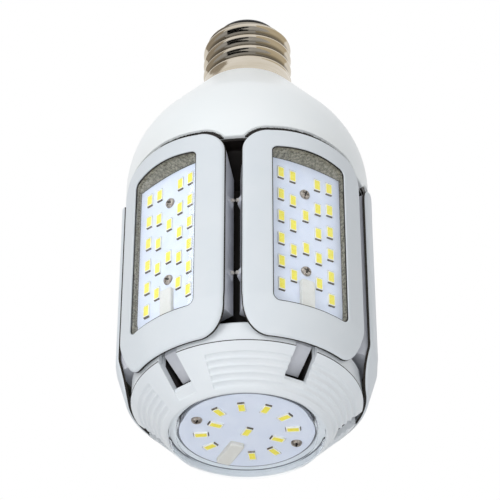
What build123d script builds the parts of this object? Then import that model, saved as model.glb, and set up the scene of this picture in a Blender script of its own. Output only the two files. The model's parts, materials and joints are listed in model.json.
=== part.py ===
from build123d import *
import os
from math import asin, atan2, cos, hypot, radians, sin, tan

os.makedirs("parts", exist_ok=True)

# A retrofit lamp for a discharge fitting. Five lit wings fold up against a dark core and swing
# out about hinges at the lower end. Sizes are in millimetres. Z is the lamp axis, the screw base
# is at the top, and z = 0 is the lowest point of the bottom lens.

# Body and folded wings
body_radius = 53.5
wing_count = 5
first_wing_angle = -60.0
wing_gap = 8.6
frame_bottom = 18.5
frame_height = 100.1
skin = 1.8
lip_height = 15.0
lip_slope = 16.7
frame_top_corner = 10.5
frame_foot_width = 11.9
frame_foot_height = 18.5
frame_arch = 1.4

# Window, lens and light board of a wing
window_side_margin = 10.6
window_top_margin = 8.2
window_bottom_margin = 13.7
window_corner = 3.0
window_arch = 1.8
window_wall = 1.5
lens_thickness = 1.5
lens_recess = 0.9
board_depth = 7.0
board_thickness = 1.2
board_margin = 1.6
lens_fit = 0.1
board_end_gap = 0.3

# Light packages, 6-5-2-5-6 on a wing
package_length = 5.6
package_width = 3.0
package_height = 0.7
outer_column = 11.32
outer_rows = 6
outer_pitch = 11.16
inner_column = 5.8
inner_rows = 5
inner_pitch = 12.44
inner_shift = 2.9
centre_rows = 2
centre_pitch = 16.4
centre_shift = 1.6
board_screw_spacing = 38.7
board_screw_shift = 1.5
pad_width = 6.2
pad_end_gap = 2.25
pad_height = 1.8
pad_corner = 1.2
pad_chamfer = 0.36
pad_below_screw = 5.0

# Pan head screws
head_radius = 2.25
head_height = 1.3
head_rounding = 0.7
shank_radius = 1.15
shank_length = 3.2
recess_width = 0.7
recess_length = 2.6
recess_depth = 0.8

# Heat sink tray, fins and side catches of a wing
tray_depth = 21.0
tray_back_gap = 3.2
tray_floor = 2.2
tray_wall = 2.2
tray_front_top = 6.8
tray_top_drop = 10.8
tray_side_gap = 0.8
tray_front_bottom = 10.0
tray_bottom_rise = 5.0
fin_count = 5
fin_thickness = 1.5
catch_spacing = 36.0
catch_shift = -3.8
catch_inset = 1.2
catch_thickness = 2.6
catch_length = 9.5
catch_gap = 1.0
tip_radius = 0.8
tip_length = 1.0
tip_rounding = 0.32

# Hinge
hinge_inset = 17.4
hinge_height = 17.7
knuckle_radius = 2.8
arm_width = 7.6
arm_thickness = 4.0
arm_front_inset = 9.5
arm_bend_rise = 2.3
heel_inset = 20.2
heel_drop = 5.4
pin_radius = 1.5
pin_clearance = 0.1
pin_press = 0.02
cheek = 2.0
slot_width = 9.6

# Lower housing and shoulder ring
parting_height = 16.9
parting_inset = 6.65
band_width = 3.85
cone_foot_land = 1.9
cone_foot_height = 3.2
housing_wall = 2.2
rib_count = 5
rib_depth = 0.55
rib_width = 2.4
rib_offset = 0.75
smooth_angle = 40.0
slot_foot_land = 3.2
pocket_inset = 24.9
pocket_height = 22.1
ring_height = 9.0
ring_inset = 6.9
ring_wall = 2.0
ring_roof = 1.8
ring_edge = 1.0
ring_fit = 0.15
notch_inset = 14.0
parting_gap = 0.2
slot_rebate = 0.6
rebate_land = 1.0
pocket_floor = 1.2
spigot_lift = 3.0
lens_lip = 0.9
lens_lip_width = 0.7
seat_wall = 2.4

# Bottom light unit
lens_radius = 31.2
lens_rim = 3.0
lens_face = 1.6
lens_height = 5.65
lens_edge = 1.1
lens_clearance = 0.3
bottom_board_gap = 1.0
bottom_outer_inset = 8.7
bottom_inner_inset = 13.7
bottom_screw_inset = 5.5
bottom_places = 12
bottom_turn = 23.5
bottom_pad_length = 15.8
bottom_pad_inset = 10.2
heat_plate_thickness = 2.0
heat_plate_rim = 1.2

# Core column and flare
core_clearance = 1.5
core_wall = 2.0
core_flange_width = 8.6
core_flange = 1.8
flare_height = 11.4
flare_inset = 10.0
flange_inset = 2.0
flange_thickness = 1.2
housing_screw_outset = 6.0
housing_boss_radius = 3.4

# Dome
dome_inset = 1.4
dome_rim_below_top = 4.1
dome_side = 9.0
dome_arc_radius = 47.0
dome_slope = 38.5
dome_wall = 2.4
scallop_clearance = 0.8
scallop_depth = 1.0
neck_radius = 22.6
neck_rounding = 2.0
spigot_height = 14.0

# Screw base
thread_crest = 19.75
thread_root = 18.0
thread_pitch = 6.35
thread_turns = 4
shell_sheet = 0.5
shell_skirt = 6.3
skirt_flare = 0.35
skirt_straight = 0.6
shell_shoulder = 3.0
shell_mouth = 14.6
shoulder_drop = 1.0
insulator_height = 3.0
insulator_top = 13.8
insulator_slope = 1.6
insulator_side = 1.8
insulator_depth = 3.0
contact_radius = 7.2
contact_height = 3.0
contact_rounding = 1.8
stem_radius = 5.1
stem_depth = 4.0

# Driver inside the core
driver_width_clearance = 0.3
driver_thickness = 1.6
driver_bottom = 30.0
driver_top = 150.0
transformer_width = 26.0
transformer_depth = 17.0
transformer_length = 22.0
transformer_chamfer = 1.5
transformer_height = 62.0
capacitor_radius = 8.0
capacitor_length = 30.0
capacitor_height = 88.0
capacitor_gap = 2.0
choke_radius = 9.0
choke_wire = 3.6
choke_height = 40.0
lead_radius = 0.9
lead_start = 142.0
lead_bend = 4.5

# Fits and overlaps shared by many pieces
seat_gap = 0.05
spigot_gap = 0.3
bury = 0.5
past = 2.0
reach_in = 12.0

# Values worked out from the sizes above
wing_pitch = 360.0 / wing_count
half_pitch = radians(wing_pitch / 2)
half_angle = half_pitch - asin(wing_gap / 2 / body_radius)
wing_half = body_radius * sin(half_angle)
frame_top = frame_bottom + frame_height
crease_height = frame_bottom + lip_height
inner_radius = body_radius - skin
window_half = wing_half - window_side_margin
window_top = frame_top - window_top_margin
window_bottom = frame_bottom + window_bottom_margin
window_middle = (window_top + window_bottom) / 2
board_face = body_radius - board_depth
board_back = board_face - board_thickness
tray_back = body_radius - tray_depth
hinge_radius = body_radius - hinge_inset
parting_radius = body_radius - parting_inset
core_radius = tray_back - core_clearance
dome_rim = frame_top - dome_rim_below_top
dome_radius = body_radius - dome_inset
ring_top = parting_height + ring_height
cone_foot_radius = lens_radius + lens_clearance + cone_foot_land
ring_inner = body_radius - ring_inset - ring_wall
tray_top = frame_top - tray_front_top
flare_top = dome_rim - flange_thickness
bottom_board_face = lens_height - board_thickness
bottom_board_radius = lens_radius - lens_rim - bottom_board_gap
heat_plate_radius = bottom_board_radius + heat_plate_rim
housing_screw_ring = core_radius + housing_screw_outset
core_flange_radius = core_radius + core_flange_width
pad_low = window_bottom + pad_end_gap


def revolved(points):
    """Turns an outline of (radius, height) points about the lamp axis."""
    outline = make_face(Polyline(*points, close=True))
    return revolve(Plane.XZ * outline, Axis.Z)


def side_plate(points, width):
    """An outline of (radial, height) points, as thick as width across the wing."""
    outline = make_face(Polyline(*points, close=True))
    return extrude(Plane.XZ * outline, amount=width / 2, both=True)


def facing_prism(outline, near, far):
    """An outline of (across, height), pushed out along the wing's radial direction."""
    return extrude(Plane.YZ.offset(near) * outline, amount=far - near)


def turned(shape, wing):
    """Brings a shape from the +X direction to its wing's place."""
    return Rot(0, 0, first_wing_angle + wing * wing_pitch) * shape


def round_plate(radius, low, high):
    """A disc between two heights."""
    return Pos(0, 0, low) * Cylinder(radius, high - low, align=(Align.CENTER, Align.CENTER, Align.MIN))


def lip_radius(height, inset=0.0):
    """Radius of the sloping lip below the crease, measured in from the outside by inset."""
    drop = crease_height - height
    return body_radius - inset - drop * tan(radians(lip_slope))


def frame_outline(grow=0.0):
    """Outline of a wing frame: straight sides, arched top, round top corners, long round foot."""
    half = wing_half + grow
    top = frame_top + grow
    low = frame_bottom - grow
    corner = frame_top_corner + grow
    shoulder = half - corner
    side_top = top - frame_arch - corner
    foot_x = half - frame_foot_width - grow
    foot_y = low + frame_foot_height + grow
    bow = corner * (1 - cos(radians(45)))
    crown = ThreePointArc((-shoulder, side_top + corner), (0, top), (shoulder, side_top + corner))
    right_corner = ThreePointArc(
        (shoulder, side_top + corner),
        (half - bow, side_top + corner - bow),
        (half, side_top),
    )
    left_corner = ThreePointArc(
        (-half, side_top),
        (-half + bow, side_top + corner - bow),
        (-shoulder, side_top + corner),
    )
    right_foot = Bezier(
        (half, foot_y),
        (half, foot_y - 0.55 * (foot_y - low)),
        (foot_x + 0.55 * (half - foot_x), low),
        (foot_x, low),
    )
    left_foot = Bezier(
        (-foot_x, low),
        (-foot_x - 0.55 * (half - foot_x), low),
        (-half, foot_y - 0.55 * (foot_y - low)),
        (-half, foot_y),
    )
    right_side = Line((half, side_top), (half, foot_y))
    left_side = Line((-half, foot_y), (-half, side_top))
    sill = Line((foot_x, low), (-foot_x, low))
    return make_face([crown, right_corner, right_side, right_foot, sill, left_foot, left_side, left_corner])


def window_outline(grow=0.0):
    """Outline of the window: an arched top and four round corners."""
    half = window_half + grow
    low = window_bottom - grow
    spring = window_top - window_arch + grow
    crown = ThreePointArc((-half, spring), (0, window_top + grow), (half, spring))
    right_side = Line((half, spring), (half, low))
    sill = Line((half, low), (-half, low))
    left_side = Line((-half, low), (-half, spring))
    sharp = make_face([crown, right_side, sill, left_side])
    return fillet(sharp.vertices(), window_corner + grow)


def frame_skin(inset, depth):
    """The curved skin between two depths: a cylinder above the crease and a cone below it."""
    low = frame_bottom - past
    high = frame_top + past
    outer = body_radius - inset
    inner = body_radius - depth
    return revolved([
        (lip_radius(low, inset), low),
        (outer, crease_height),
        (outer, high),
        (inner, high),
        (inner, crease_height),
        (lip_radius(low, depth), low),
    ])


def wing_frame():
    """White bezel with a window and a rim down to the board."""
    reach = body_radius + past
    skin_part = frame_skin(0, skin) & facing_prism(frame_outline(), board_face - reach_in, reach)
    rim = facing_prism(window_outline(window_wall), board_face, reach)
    rim = rim & frame_skin(skin / 2, skin + reach_in)
    rim = rim - Pos(0, 0, window_middle) * Box(2 * board_face, 4 * wing_half, 2 * frame_height)
    return skin_part + rim - facing_prism(window_outline(), board_face - reach_in, reach)


def wing_lens():
    """Clear curved cover in the window."""
    blank = facing_prism(window_outline(-lens_fit), board_face, body_radius + past)
    return blank & frame_skin(lens_recess, lens_recess + lens_thickness)


def wing_board():
    """Flat light board behind the window rim."""
    width = 2 * (window_half + window_wall + board_margin)
    low = window_bottom - window_wall + board_end_gap
    high = window_top + window_wall - board_end_gap
    plate = Box(board_thickness, width, high - low, align=(Align.MIN, Align.CENTER, Align.MIN))
    return Pos(board_back, 0, low) * plate


def package_places():
    """Centres (across, height) of the light packages of a wing."""
    places = []
    columns = [
        (-outer_column, outer_rows, outer_pitch, 0.0),
        (-inner_column, inner_rows, inner_pitch, inner_shift),
        (0.0, centre_rows, centre_pitch, centre_shift),
        (inner_column, inner_rows, inner_pitch, inner_shift),
        (outer_column, outer_rows, outer_pitch, 0.0),
    ]
    for across, rows, pitch, shift in columns:
        for row in range(rows):
            step = row - (rows - 1) / 2
            places.append((across, window_middle + shift + step * pitch))
    return places


def light_package():
    """One light package, its back on x = 0 and its long side along Z."""
    seated = (Align.MIN, Align.CENTER, Align.CENTER)
    return Box(package_height, package_width, package_length, align=seated)


def wing_packages():
    """Light packages standing on the board, long side along the lamp axis."""
    return [Pos(board_face, across, height) * light_package() for across, height in package_places()]


def pan_screw():
    """Cross recess pan head screw, head towards +X, seated on x = 0."""
    head = Rot(0, 90, 0) * round_plate(head_radius, 0, head_height)
    head = fillet(head.edges().group_by(Axis.X)[-1], head_rounding * head_height)
    shank = Rot(0, -90, 0) * round_plate(shank_radius, 0, shank_length)
    arm = Box(2 * recess_depth, recess_width, recess_length)
    cross = arm + Rot(90, 0, 0) * arm
    return head + shank - Pos(head_height, 0, 0) * cross


def board_screw_heights():
    """Heights of the two board screws of a wing."""
    middle = window_middle + board_screw_shift
    return [middle + board_screw_spacing / 2, middle - board_screw_spacing / 2]


def wing_screws():
    """Two screws that hold the board to the tray."""
    return [Pos(board_face, 0, height) * pan_screw() for height in board_screw_heights()]


def screw_holes(shape):
    """Clears the shanks of the board screws."""
    for height in board_screw_heights():
        drill = Cylinder(shank_radius + seat_gap, 4 * shank_length)
        shape = shape - Pos(board_face, 0, height) * Rot(0, 90, 0) * drill
    return shape


def wire_pad(length):
    """Low moulded cover over the wire joints, lying along Z, its back on x = 0."""
    pad = Box(pad_height, pad_width, length, align=(Align.MIN, Align.CENTER, Align.CENTER))
    pad = fillet(pad.edges().filter_by(Axis.X), pad_corner)
    return chamfer(pad.faces().sort_by(Axis.X)[-1].edges(), pad_chamfer)


def wing_wire_pad():
    """Wire cover below the lower board screw."""
    pad_high = board_screw_heights()[1] - pad_below_screw
    return Pos(board_face, 0, (pad_low + pad_high) / 2) * wire_pad(pad_high - pad_low)


def inside_frame(gap):
    """Everything inside the frame skin, with a gap to it."""
    low = frame_bottom - past
    return revolved([
        (0, low),
        (lip_radius(low, skin + gap), low),
        (inner_radius - gap, crease_height),
        (inner_radius - gap, frame_top),
        (0, frame_top),
    ])


def tray_half_width(radial):
    """Half width of the tapering tray at a distance from the lamp axis."""
    back = tray_back * tan(half_pitch) - tray_back_gap / 2
    front = wing_half - 2 * seat_gap
    share = (radial - tray_back) / (board_back - tray_back)
    return back + share * (front - back)


def tray_side_outline(inset):
    """Side view (radial, height) of the tray with sloping top and bottom."""
    front = board_back
    back = tray_back - inset
    low = frame_bottom + tray_front_bottom + inset
    high = tray_top - inset
    return [
        (back, low + tray_bottom_rise),
        (front, low),
        (front, high),
        (back, high - tray_top_drop),
    ]


def tray_body():
    """Tapering box cut to the inside of the frame, with fins in its hollow back."""
    back_half = tray_half_width(tray_back)
    front_half = tray_half_width(board_back)
    section = make_face(Polyline(
        (tray_back, -back_half),
        (board_back, -front_half),
        (board_back, front_half),
        (tray_back, back_half),
        close=True,
    ))
    box = Pos(0, 0, frame_bottom) * extrude(section, amount=frame_height)
    box = box & side_plate(tray_side_outline(0), 3 * wing_half)
    box = box & inside_frame(seat_gap)
    box = box & facing_prism(frame_outline(-tray_side_gap), 0, body_radius)
    channels = side_plate(tray_side_outline(tray_wall), 3 * wing_half)
    floor = board_back - tray_floor
    behind = tray_back - tray_wall
    hollow = make_face(Polyline(
        (behind, -tray_half_width(behind) + tray_wall),
        (floor, -tray_half_width(floor) + tray_wall),
        (floor, tray_half_width(floor) - tray_wall),
        (behind, tray_half_width(behind) - tray_wall),
        close=True,
    ))
    channels = channels & Pos(0, 0, frame_bottom) * extrude(hollow, amount=frame_height)
    spacing = 2 * back_half / (fin_count + 1)
    plate = Box(2 * body_radius, fin_thickness, 2 * frame_height)
    for fin in range(fin_count):
        across = (fin - (fin_count - 1) / 2) * spacing
        channels = channels - Pos(0, across, window_middle) * plate
    return box - channels


def hinge_arm():
    """Arm from the tray's foot down behind the lip, then slanting in under the hinge eye."""
    front = body_radius - arm_front_inset
    back = front - arm_thickness
    root = frame_bottom + tray_front_bottom + tray_bottom_rise / 2
    bend = hinge_height + arm_bend_rise
    eye_top = hinge_height + knuckle_radius
    arm = side_plate([
        (front, bend),
        (front, root),
        (back, root + bury),
        (back, eye_top + bury),
        (hinge_radius, eye_top),
        (hinge_radius - knuckle_radius, hinge_height),
        (body_radius - heel_inset, hinge_height - heel_drop),
    ], arm_width)
    eye = Rot(90, 0, 0) * Cylinder(knuckle_radius, arm_width)
    return arm + Pos(hinge_radius, 0, hinge_height) * eye


def catch_tip_place():
    """Radial and sideways place of a catch tip, beside the plane between two wings."""
    radial = (tray_back + board_back) / 2 - catch_inset
    across = radial * tan(half_pitch) - catch_gap / 2 / cos(half_pitch) - tip_length
    return radial, across


def side_catches():
    """Low triangular ears on the tray's sides, each with a flat end for its tip."""
    radial, across = catch_tip_place()
    near = radial - catch_length / 2
    far = radial + catch_length / 2
    ear = make_face(Polyline(
        (near, tray_half_width(near) - bury),
        (far, tray_half_width(far) - bury),
        (radial + tip_radius, across),
        (radial - tip_radius, across),
        close=True,
    ))
    right_ear = extrude(ear, amount=catch_thickness / 2, both=True)
    return [right_ear, mirror(right_ear, Plane.XZ)]


def catch_heights():
    """Heights of the side catches."""
    middle = window_middle + catch_shift
    return [middle + catch_spacing / 2, middle - catch_spacing / 2]


def wing_tray():
    """Cast tray with fins, side catches and the hinge arm."""
    shape = tray_body() + hinge_arm()
    for height in catch_heights():
        for ear in side_catches():
            shape = shape + Pos(0, 0, height) * ear
    bore = Rot(90, 0, 0) * Cylinder(pin_radius + pin_clearance, 2 * arm_width)
    shape = shape - Pos(hinge_radius, 0, hinge_height) * bore
    return screw_holes(shape)


def wing_catch_tips():
    """Small steel buttons at the ends of the catches."""
    radial, across = catch_tip_place()
    button = round_plate(tip_radius, 0, tip_length)
    button = fillet(button.edges().group_by(Axis.Z)[-1], tip_rounding)
    tips = []
    for height in catch_heights():
        for side in (1, -1):
            tips.append(Pos(radial, side * across, height) * Rot(-side * 90, 0, 0) * button)
    return tips


def cone_point(share, lift=0.0):
    """Point on the ribbed cone, from its foot (0) to the bright step (1), lifted off it by lift."""
    foot = (cone_foot_radius, cone_foot_height)
    top = (parting_radius, parting_height - parting_gap)
    run = hypot(top[0] - foot[0], top[1] - foot[1])
    end = share * (1 - band_width / run)
    slope = atan2(top[1] - foot[1], top[0] - foot[0])
    radius = foot[0] + end * (top[0] - foot[0]) + lift * sin(slope)
    height = foot[1] + end * (top[1] - foot[1]) - lift * cos(slope)
    return radius, height


def slot_void():
    """Space for one hinge arm: a slot through the cone, open to the inside of the lamp."""
    foot = cone_foot_radius + slot_foot_land
    pocket = body_radius - pocket_inset
    floor = lens_height + heat_plate_thickness + pocket_floor
    return side_plate([
        (foot, -past),
        (foot, floor),
        (pocket - past, floor),
        (pocket - past, pocket_height + past),
        (body_radius + past, pocket_height + past),
        (body_radius + past, -past),
    ], slot_width)


def cone_radius(height):
    """Radius of the cone between its foot and the parting line."""
    share = (height - cone_foot_height) / (parting_height - parting_gap - cone_foot_height)
    return cone_foot_radius + share * (parting_radius - cone_foot_radius)


def housing_envelope():
    """Inside of the lower housing to the middle of its wall, up to the tops of the cheeks."""
    low = lens_height + heat_plate_thickness / 2
    high = parting_height - parting_gap
    inset = housing_wall * 0.6
    neck = ring_inner - ring_fit - bury / 2
    return revolved([
        (0, low),
        (cone_radius(low) - inset, low),
        (cone_radius(high) - inset, high),
        (neck, high),
        (neck, pocket_height),
        (0, pocket_height),
    ])


def rib_grooves():
    """Shallow round grooves about the cone, left out around one slot."""
    radius = (rib_width ** 2 / 4 + rib_depth ** 2) / (2 * rib_depth)
    tool = None
    for rib in range(rib_count):
        r, z = cone_point((rib + rib_offset) / (rib_count + rib_offset - 0.5), radius - rib_depth)
        ring = Plane.XZ * Pos(r, z) * Circle(radius)
        groove = revolve(ring, Axis.Z, revolution_arc=360 - smooth_angle)
        tool = groove if tool is None else tool + groove
    start = first_wing_angle + (wing_count - 1) * wing_pitch + smooth_angle / 2
    return Rot(0, 0, start) * tool


def slot_rebate_cut():
    """Shallow facet on the cone below the foot of a slot."""
    near = cone_foot_radius + rebate_land
    far = cone_foot_radius + slot_foot_land + bury
    slope = (parting_height - parting_gap - cone_foot_height) / (parting_radius - cone_foot_radius)
    near_height = cone_foot_height + slope * rebate_land
    far_height = cone_foot_height + slope * (slot_foot_land + bury)
    return side_plate([
        (near, near_height - past),
        (near, near_height + slot_rebate),
        (far, far_height + slot_rebate),
        (far, far_height - past),
    ], slot_width)


def between_wings(shape, wing):
    """Brings a shape on the lamp axis out to the screw ring, midway between two wings."""
    angle = first_wing_angle + (wing + 0.5) * wing_pitch
    return Rot(0, 0, angle) * Pos(housing_screw_ring, 0, 0) * shape


def lower_housing():
    """Ribbed cone with a lens seat, a web for the heat plate and a pair of cheeks at each slot."""
    foot = cone_foot_radius
    seat = lens_radius + lens_clearance
    web_top = lens_height + heat_plate_thickness
    spigot = ring_inner - ring_fit
    shell = revolved([
        (seat, cone_foot_height - lens_lip),
        (seat + lens_lip_width, cone_foot_height - lens_lip),
        (foot, cone_foot_height),
        (parting_radius, parting_height - parting_gap),
        (spigot, parting_height - parting_gap),
        (spigot, parting_height + spigot_lift),
        (spigot - housing_wall, parting_height + spigot_lift),
        (spigot - housing_wall, parting_height),
        (foot + seat_wall, web_top),
        (heat_plate_radius + seat_gap, web_top),
        (heat_plate_radius + seat_gap, lens_height),
        (seat, lens_height),
    ])
    shell = shell - rib_grooves()
    envelope = housing_envelope()
    outer_width = slot_width + 2 * cheek
    seated = (Align.MIN, Align.CENTER, Align.MIN)
    block = Box(pocket_inset, outer_width, pocket_height, align=seated)
    block = Pos(body_radius - pocket_inset, 0, web_top - bury) * block
    boss = round_plate(housing_boss_radius, web_top - bury, pocket_height)
    pilot = round_plate(shank_radius, parting_height - spigot_lift, ring_top)
    hole = Rot(90, 0, 0) * Cylinder(pin_radius + pin_press, outer_width + past)
    for wing in range(wing_count):
        shell = shell + (turned(block, wing) & envelope)
        shell = shell + (between_wings(boss, wing) & envelope)
        shell = shell - between_wings(pilot, wing)
    shell = shell - round_plate(heat_plate_radius + seat_gap, lens_height, web_top)
    for wing in range(wing_count):
        shell = shell - turned(slot_void(), wing)
        shell = shell - turned(slot_rebate_cut(), wing)
        shell = shell - turned(Pos(hinge_radius, 0, hinge_height) * hole, wing)
    return shell


def hinge_pins():
    """One steel pin across each pair of cheeks."""
    pin = Rot(90, 0, 0) * Cylinder(pin_radius, slot_width + 2 * cheek)
    return [turned(Pos(hinge_radius, 0, hinge_height) * pin, wing) for wing in range(wing_count)]


def shoulder_ring():
    """Smooth white ring over the cone, its roof notched for the hinge arms."""
    outer = body_radius - ring_inset
    ring = revolved([
        (outer, parting_height),
        (outer, ring_top - ring_edge),
        (outer - ring_edge, ring_top),
        (core_radius + ring_fit, ring_top),
        (core_radius + ring_fit, ring_top - ring_roof),
        (ring_inner, ring_top - ring_roof),
        (ring_inner, parting_height),
    ])
    start = body_radius - notch_inset
    beyond = (Align.MIN, Align.CENTER, Align.CENTER)
    notch = Box(2 * notch_inset, slot_width, 4 * ring_height, align=beyond)
    hole = round_plate(head_radius + ring_fit, parting_height, ring_top + past)
    for wing in range(wing_count):
        ring = ring - turned(Pos(start, 0, parting_height) * notch, wing)
        ring = ring - between_wings(hole, wing)
    return ring


def core_column():
    """Dark core: a tube with a flange below and a flare and flange under the dome."""
    flange_low = ring_top - ring_roof - core_flange
    inner = core_radius - core_wall
    flare_outer = body_radius - flare_inset
    flare_low = flare_top - flare_height
    column = revolved([
        (inner, flange_low),
        (core_flange_radius, flange_low),
        (core_flange_radius, flange_low + core_flange),
        (core_radius, flange_low + core_flange),
        (core_radius, flare_low),
        (flare_outer, flare_top),
        (dome_radius - flange_inset, flare_top),
        (dome_radius - flange_inset, dome_rim),
        (flare_outer - core_wall, dome_rim),
        (inner, flare_low + core_wall / 2),
    ])
    hole = round_plate(shank_radius + seat_gap, 0, ring_top)
    for wing in range(wing_count):
        column = column - between_wings(hole, wing)
    return column


def housing_screws():
    """Screws through the core flange into the lower housing."""
    seat = ring_top - ring_roof
    screw = round_plate(head_radius, seat, seat + head_height)
    screw = screw + round_plate(shank_radius - seat_gap, parting_height - past, seat)
    return [between_wings(screw, wing) for wing in range(wing_count)]


def dome_outline(inset):
    """Dome outline at a depth: the points at the rim, side top, arc middle, arc end and neck."""
    slope = radians(dome_slope)
    side_top = dome_rim + dome_side
    radius = dome_radius - inset
    arc = dome_arc_radius - inset
    centre = dome_radius - dome_arc_radius
    middle = (centre + arc * cos(slope / 2), side_top + arc * sin(slope / 2))
    end = (centre + arc * cos(slope), side_top + arc * sin(slope))
    neck = neck_radius - inset
    neck_height = end[1] + (end[0] - neck) / tan(slope)
    return (radius, dome_rim), (radius, side_top), middle, end, (neck, neck_height)


def dome_neck_height():
    """Height at which the dome reaches its neck."""
    return dome_outline(0)[4][1]


def upper_housing():
    """White dome with scallops over the wing frames and a spigot for the screw shell."""
    rim, side, middle, end, neck = dome_outline(0)
    in_rim, in_side, in_middle, in_end, _ = dome_outline(dome_wall)
    spigot = thread_root - shell_sheet - spigot_gap
    bore = spigot - dome_wall
    top = neck[1] + spigot_height
    outside = Polyline(end, neck, (spigot, neck[1]), (spigot, top))
    inside = Polyline((spigot, top), (bore, top), (bore, neck[1]), in_end)
    lines = [
        Line(rim, side),
        ThreePointArc(side, middle, end),
        outside,
        inside,
        ThreePointArc(in_end, in_middle, in_side),
        Polyline(in_side, in_rim, rim),
    ]
    section = make_face(lines)
    edge = section.vertices().sort_by_distance((neck[0], neck[1], 0))[0]
    dome = revolve(Plane.XZ * fillet(edge, neck_rounding), Axis.Z)
    band = round_plate(body_radius + past, dome_rim - past, frame_top + 2 * past)
    band = band - round_plate(dome_radius - scallop_depth, dome_rim - 2 * past, frame_top + 3 * past)
    scallop = facing_prism(frame_outline(scallop_clearance), core_radius, body_radius + 2 * past) & band
    for wing in range(wing_count):
        dome = dome - turned(scallop, wing)
    return dome


def shell_levels():
    """Heights of the screw shell: skirt bottom, thread start, thread end and top."""
    bottom = dome_neck_height() + 2 * seat_gap
    start = bottom + shell_skirt
    end = start + thread_turns * thread_pitch
    return bottom, start, end, end + shell_shoulder


def screw_shell():
    """Rolled sheet shell with round crests and roots at the thread's pitch."""
    bottom, start, end, top = shell_levels()
    middle = (thread_crest + thread_root) / 2
    waves = []
    quarter = thread_pitch / 4
    for turn in range(thread_turns):
        for sheet in (0.0, shell_sheet):
            z = start + turn * thread_pitch
            root = thread_root - sheet
            crest = thread_crest - sheet
            mid = middle - sheet
            half_way = z + 2 * quarter
            waves.append(ThreePointArc((mid, z), (root, z + quarter), (mid, half_way)))
            waves.append(ThreePointArc((mid, half_way), (crest, z + 3 * quarter), (mid, z + 4 * quarter)))
    skirt = thread_crest + skirt_flare
    fold = bottom + skirt_straight * shell_skirt
    skirt_out = Polyline((skirt, bottom), (thread_crest, fold), (middle, start))
    skirt_in = Polyline(
        (skirt - shell_sheet, bottom),
        (thread_crest - shell_sheet, fold),
        (middle - shell_sheet, start),
    )
    cap = Polyline(
        (middle, end),
        (thread_root, top - shoulder_drop),
        (shell_mouth, top),
        (shell_mouth, top - shell_sheet),
        (thread_root - shell_sheet, top - shoulder_drop - shell_sheet),
        (middle - shell_sheet, end),
    )
    foot = Line((skirt - shell_sheet, bottom), (skirt, bottom))
    profile = make_face([skirt_out, cap, skirt_in, foot, *waves])
    return revolve(Plane.XZ * profile, Axis.Z)


def base_insulator():
    """Black cone that closes the shell and carries the contact."""
    top = shell_levels()[3]
    return revolved([
        (stem_radius + seat_gap, top - insulator_depth),
        (thread_root - shell_sheet - spigot_gap, top - insulator_depth),
        (shell_mouth - 2 * seat_gap, top - shell_sheet - 2 * seat_gap),
        (shell_mouth - 2 * seat_gap, top + shell_sheet),
        (insulator_top, top + insulator_side),
        (insulator_top - insulator_slope, top + insulator_height),
        (stem_radius + seat_gap, top + insulator_height),
    ])


def centre_contact():
    """Raised metal contact with a rivet stem through the insulator."""
    low = shell_levels()[3] + insulator_height
    button = round_plate(contact_radius, low, low + contact_height)
    button = fillet(button.edges().group_by(Axis.Z)[-1], contact_rounding)
    return button + round_plate(stem_radius, shell_levels()[3] - stem_depth, low)


def bottom_lens():
    """Clear cap with a thick rim and a flat face."""
    cup = round_plate(lens_radius, 0, lens_height)
    cup = fillet(cup.edges().group_by(Axis.Z)[0], lens_edge)
    return cup - round_plate(lens_radius - lens_rim, lens_face, lens_height + past)


def bottom_board():
    """Round light board under the heat plate."""
    return round_plate(bottom_board_radius, bottom_board_face, lens_height)


def bottom_places_polar():
    """Ring places (radius, angle, kind) about the bottom board."""
    places = []
    for place in range(bottom_places):
        angle = bottom_turn + place * 360.0 / bottom_places
        if place % (bottom_places // 2) == 0:
            places.append((bottom_board_radius - bottom_inner_inset, angle, "package"))
            places.append((bottom_board_radius - bottom_screw_inset, angle, "screw"))
        elif place == bottom_places // 4:
            places.append((bottom_board_radius - bottom_pad_inset, angle, "pad"))
        else:
            places.append((bottom_board_radius - bottom_outer_inset, angle, "package"))
    places.append((0.0, bottom_turn + 90.0, "package"))
    return places


def on_bottom_board(shape, radius, angle):
    """Brings a shape that faces +X, upright along Z, to face down from the bottom board."""
    flat = Rot(0, 90, 0) * shape
    return Rot(0, 0, angle) * Pos(radius, 0, bottom_board_face) * flat


def on_bottom_places(shape, wanted):
    """Copies of a shape at every place of one kind on the bottom board."""
    return [on_bottom_board(shape, r, angle) for r, angle, kind in bottom_places_polar() if kind == wanted]


def drilled_for_bottom_screws(shape):
    """Clears the shanks of the bottom board screws."""
    for r, angle, kind in bottom_places_polar():
        if kind == "screw":
            drill = Cylinder(shank_radius + seat_gap, 8 * shank_length)
            shape = shape - Rot(0, 0, angle) * Pos(r, 0, 0) * drill
    return shape


def bottom_heat_plate():
    """Aluminium plate behind the bottom board."""
    plate = round_plate(heat_plate_radius, lens_height, lens_height + heat_plate_thickness)
    return drilled_for_bottom_screws(plate)


def driver_board():
    """Upright circuit board across the core."""
    half = core_radius - core_wall - driver_width_clearance
    height = driver_top - driver_bottom
    plate = Box(driver_thickness, 2 * half, height, align=(Align.CENTER, Align.CENTER, Align.MIN))
    return Pos(0, 0, driver_bottom) * plate


def driver_transformer():
    """Wound transformer block on the driver board."""
    seated = (Align.MIN, Align.CENTER, Align.CENTER)
    block = Box(transformer_depth, transformer_width, transformer_length, align=seated)
    block = chamfer(block.edges().filter_by(Axis.X), transformer_chamfer)
    return Pos(driver_thickness / 2, 0, transformer_height) * block


def driver_capacitors():
    """Two electrolytic capacitors lying on the driver board."""
    can = Cylinder(capacitor_radius, capacitor_length)
    offset = driver_thickness / 2 + capacitor_radius
    aside = capacitor_radius + capacitor_gap / 2
    middle = capacitor_height + capacitor_length / 2
    return [Pos(offset, side * aside, middle) * can for side in (1, -1)]


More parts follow.
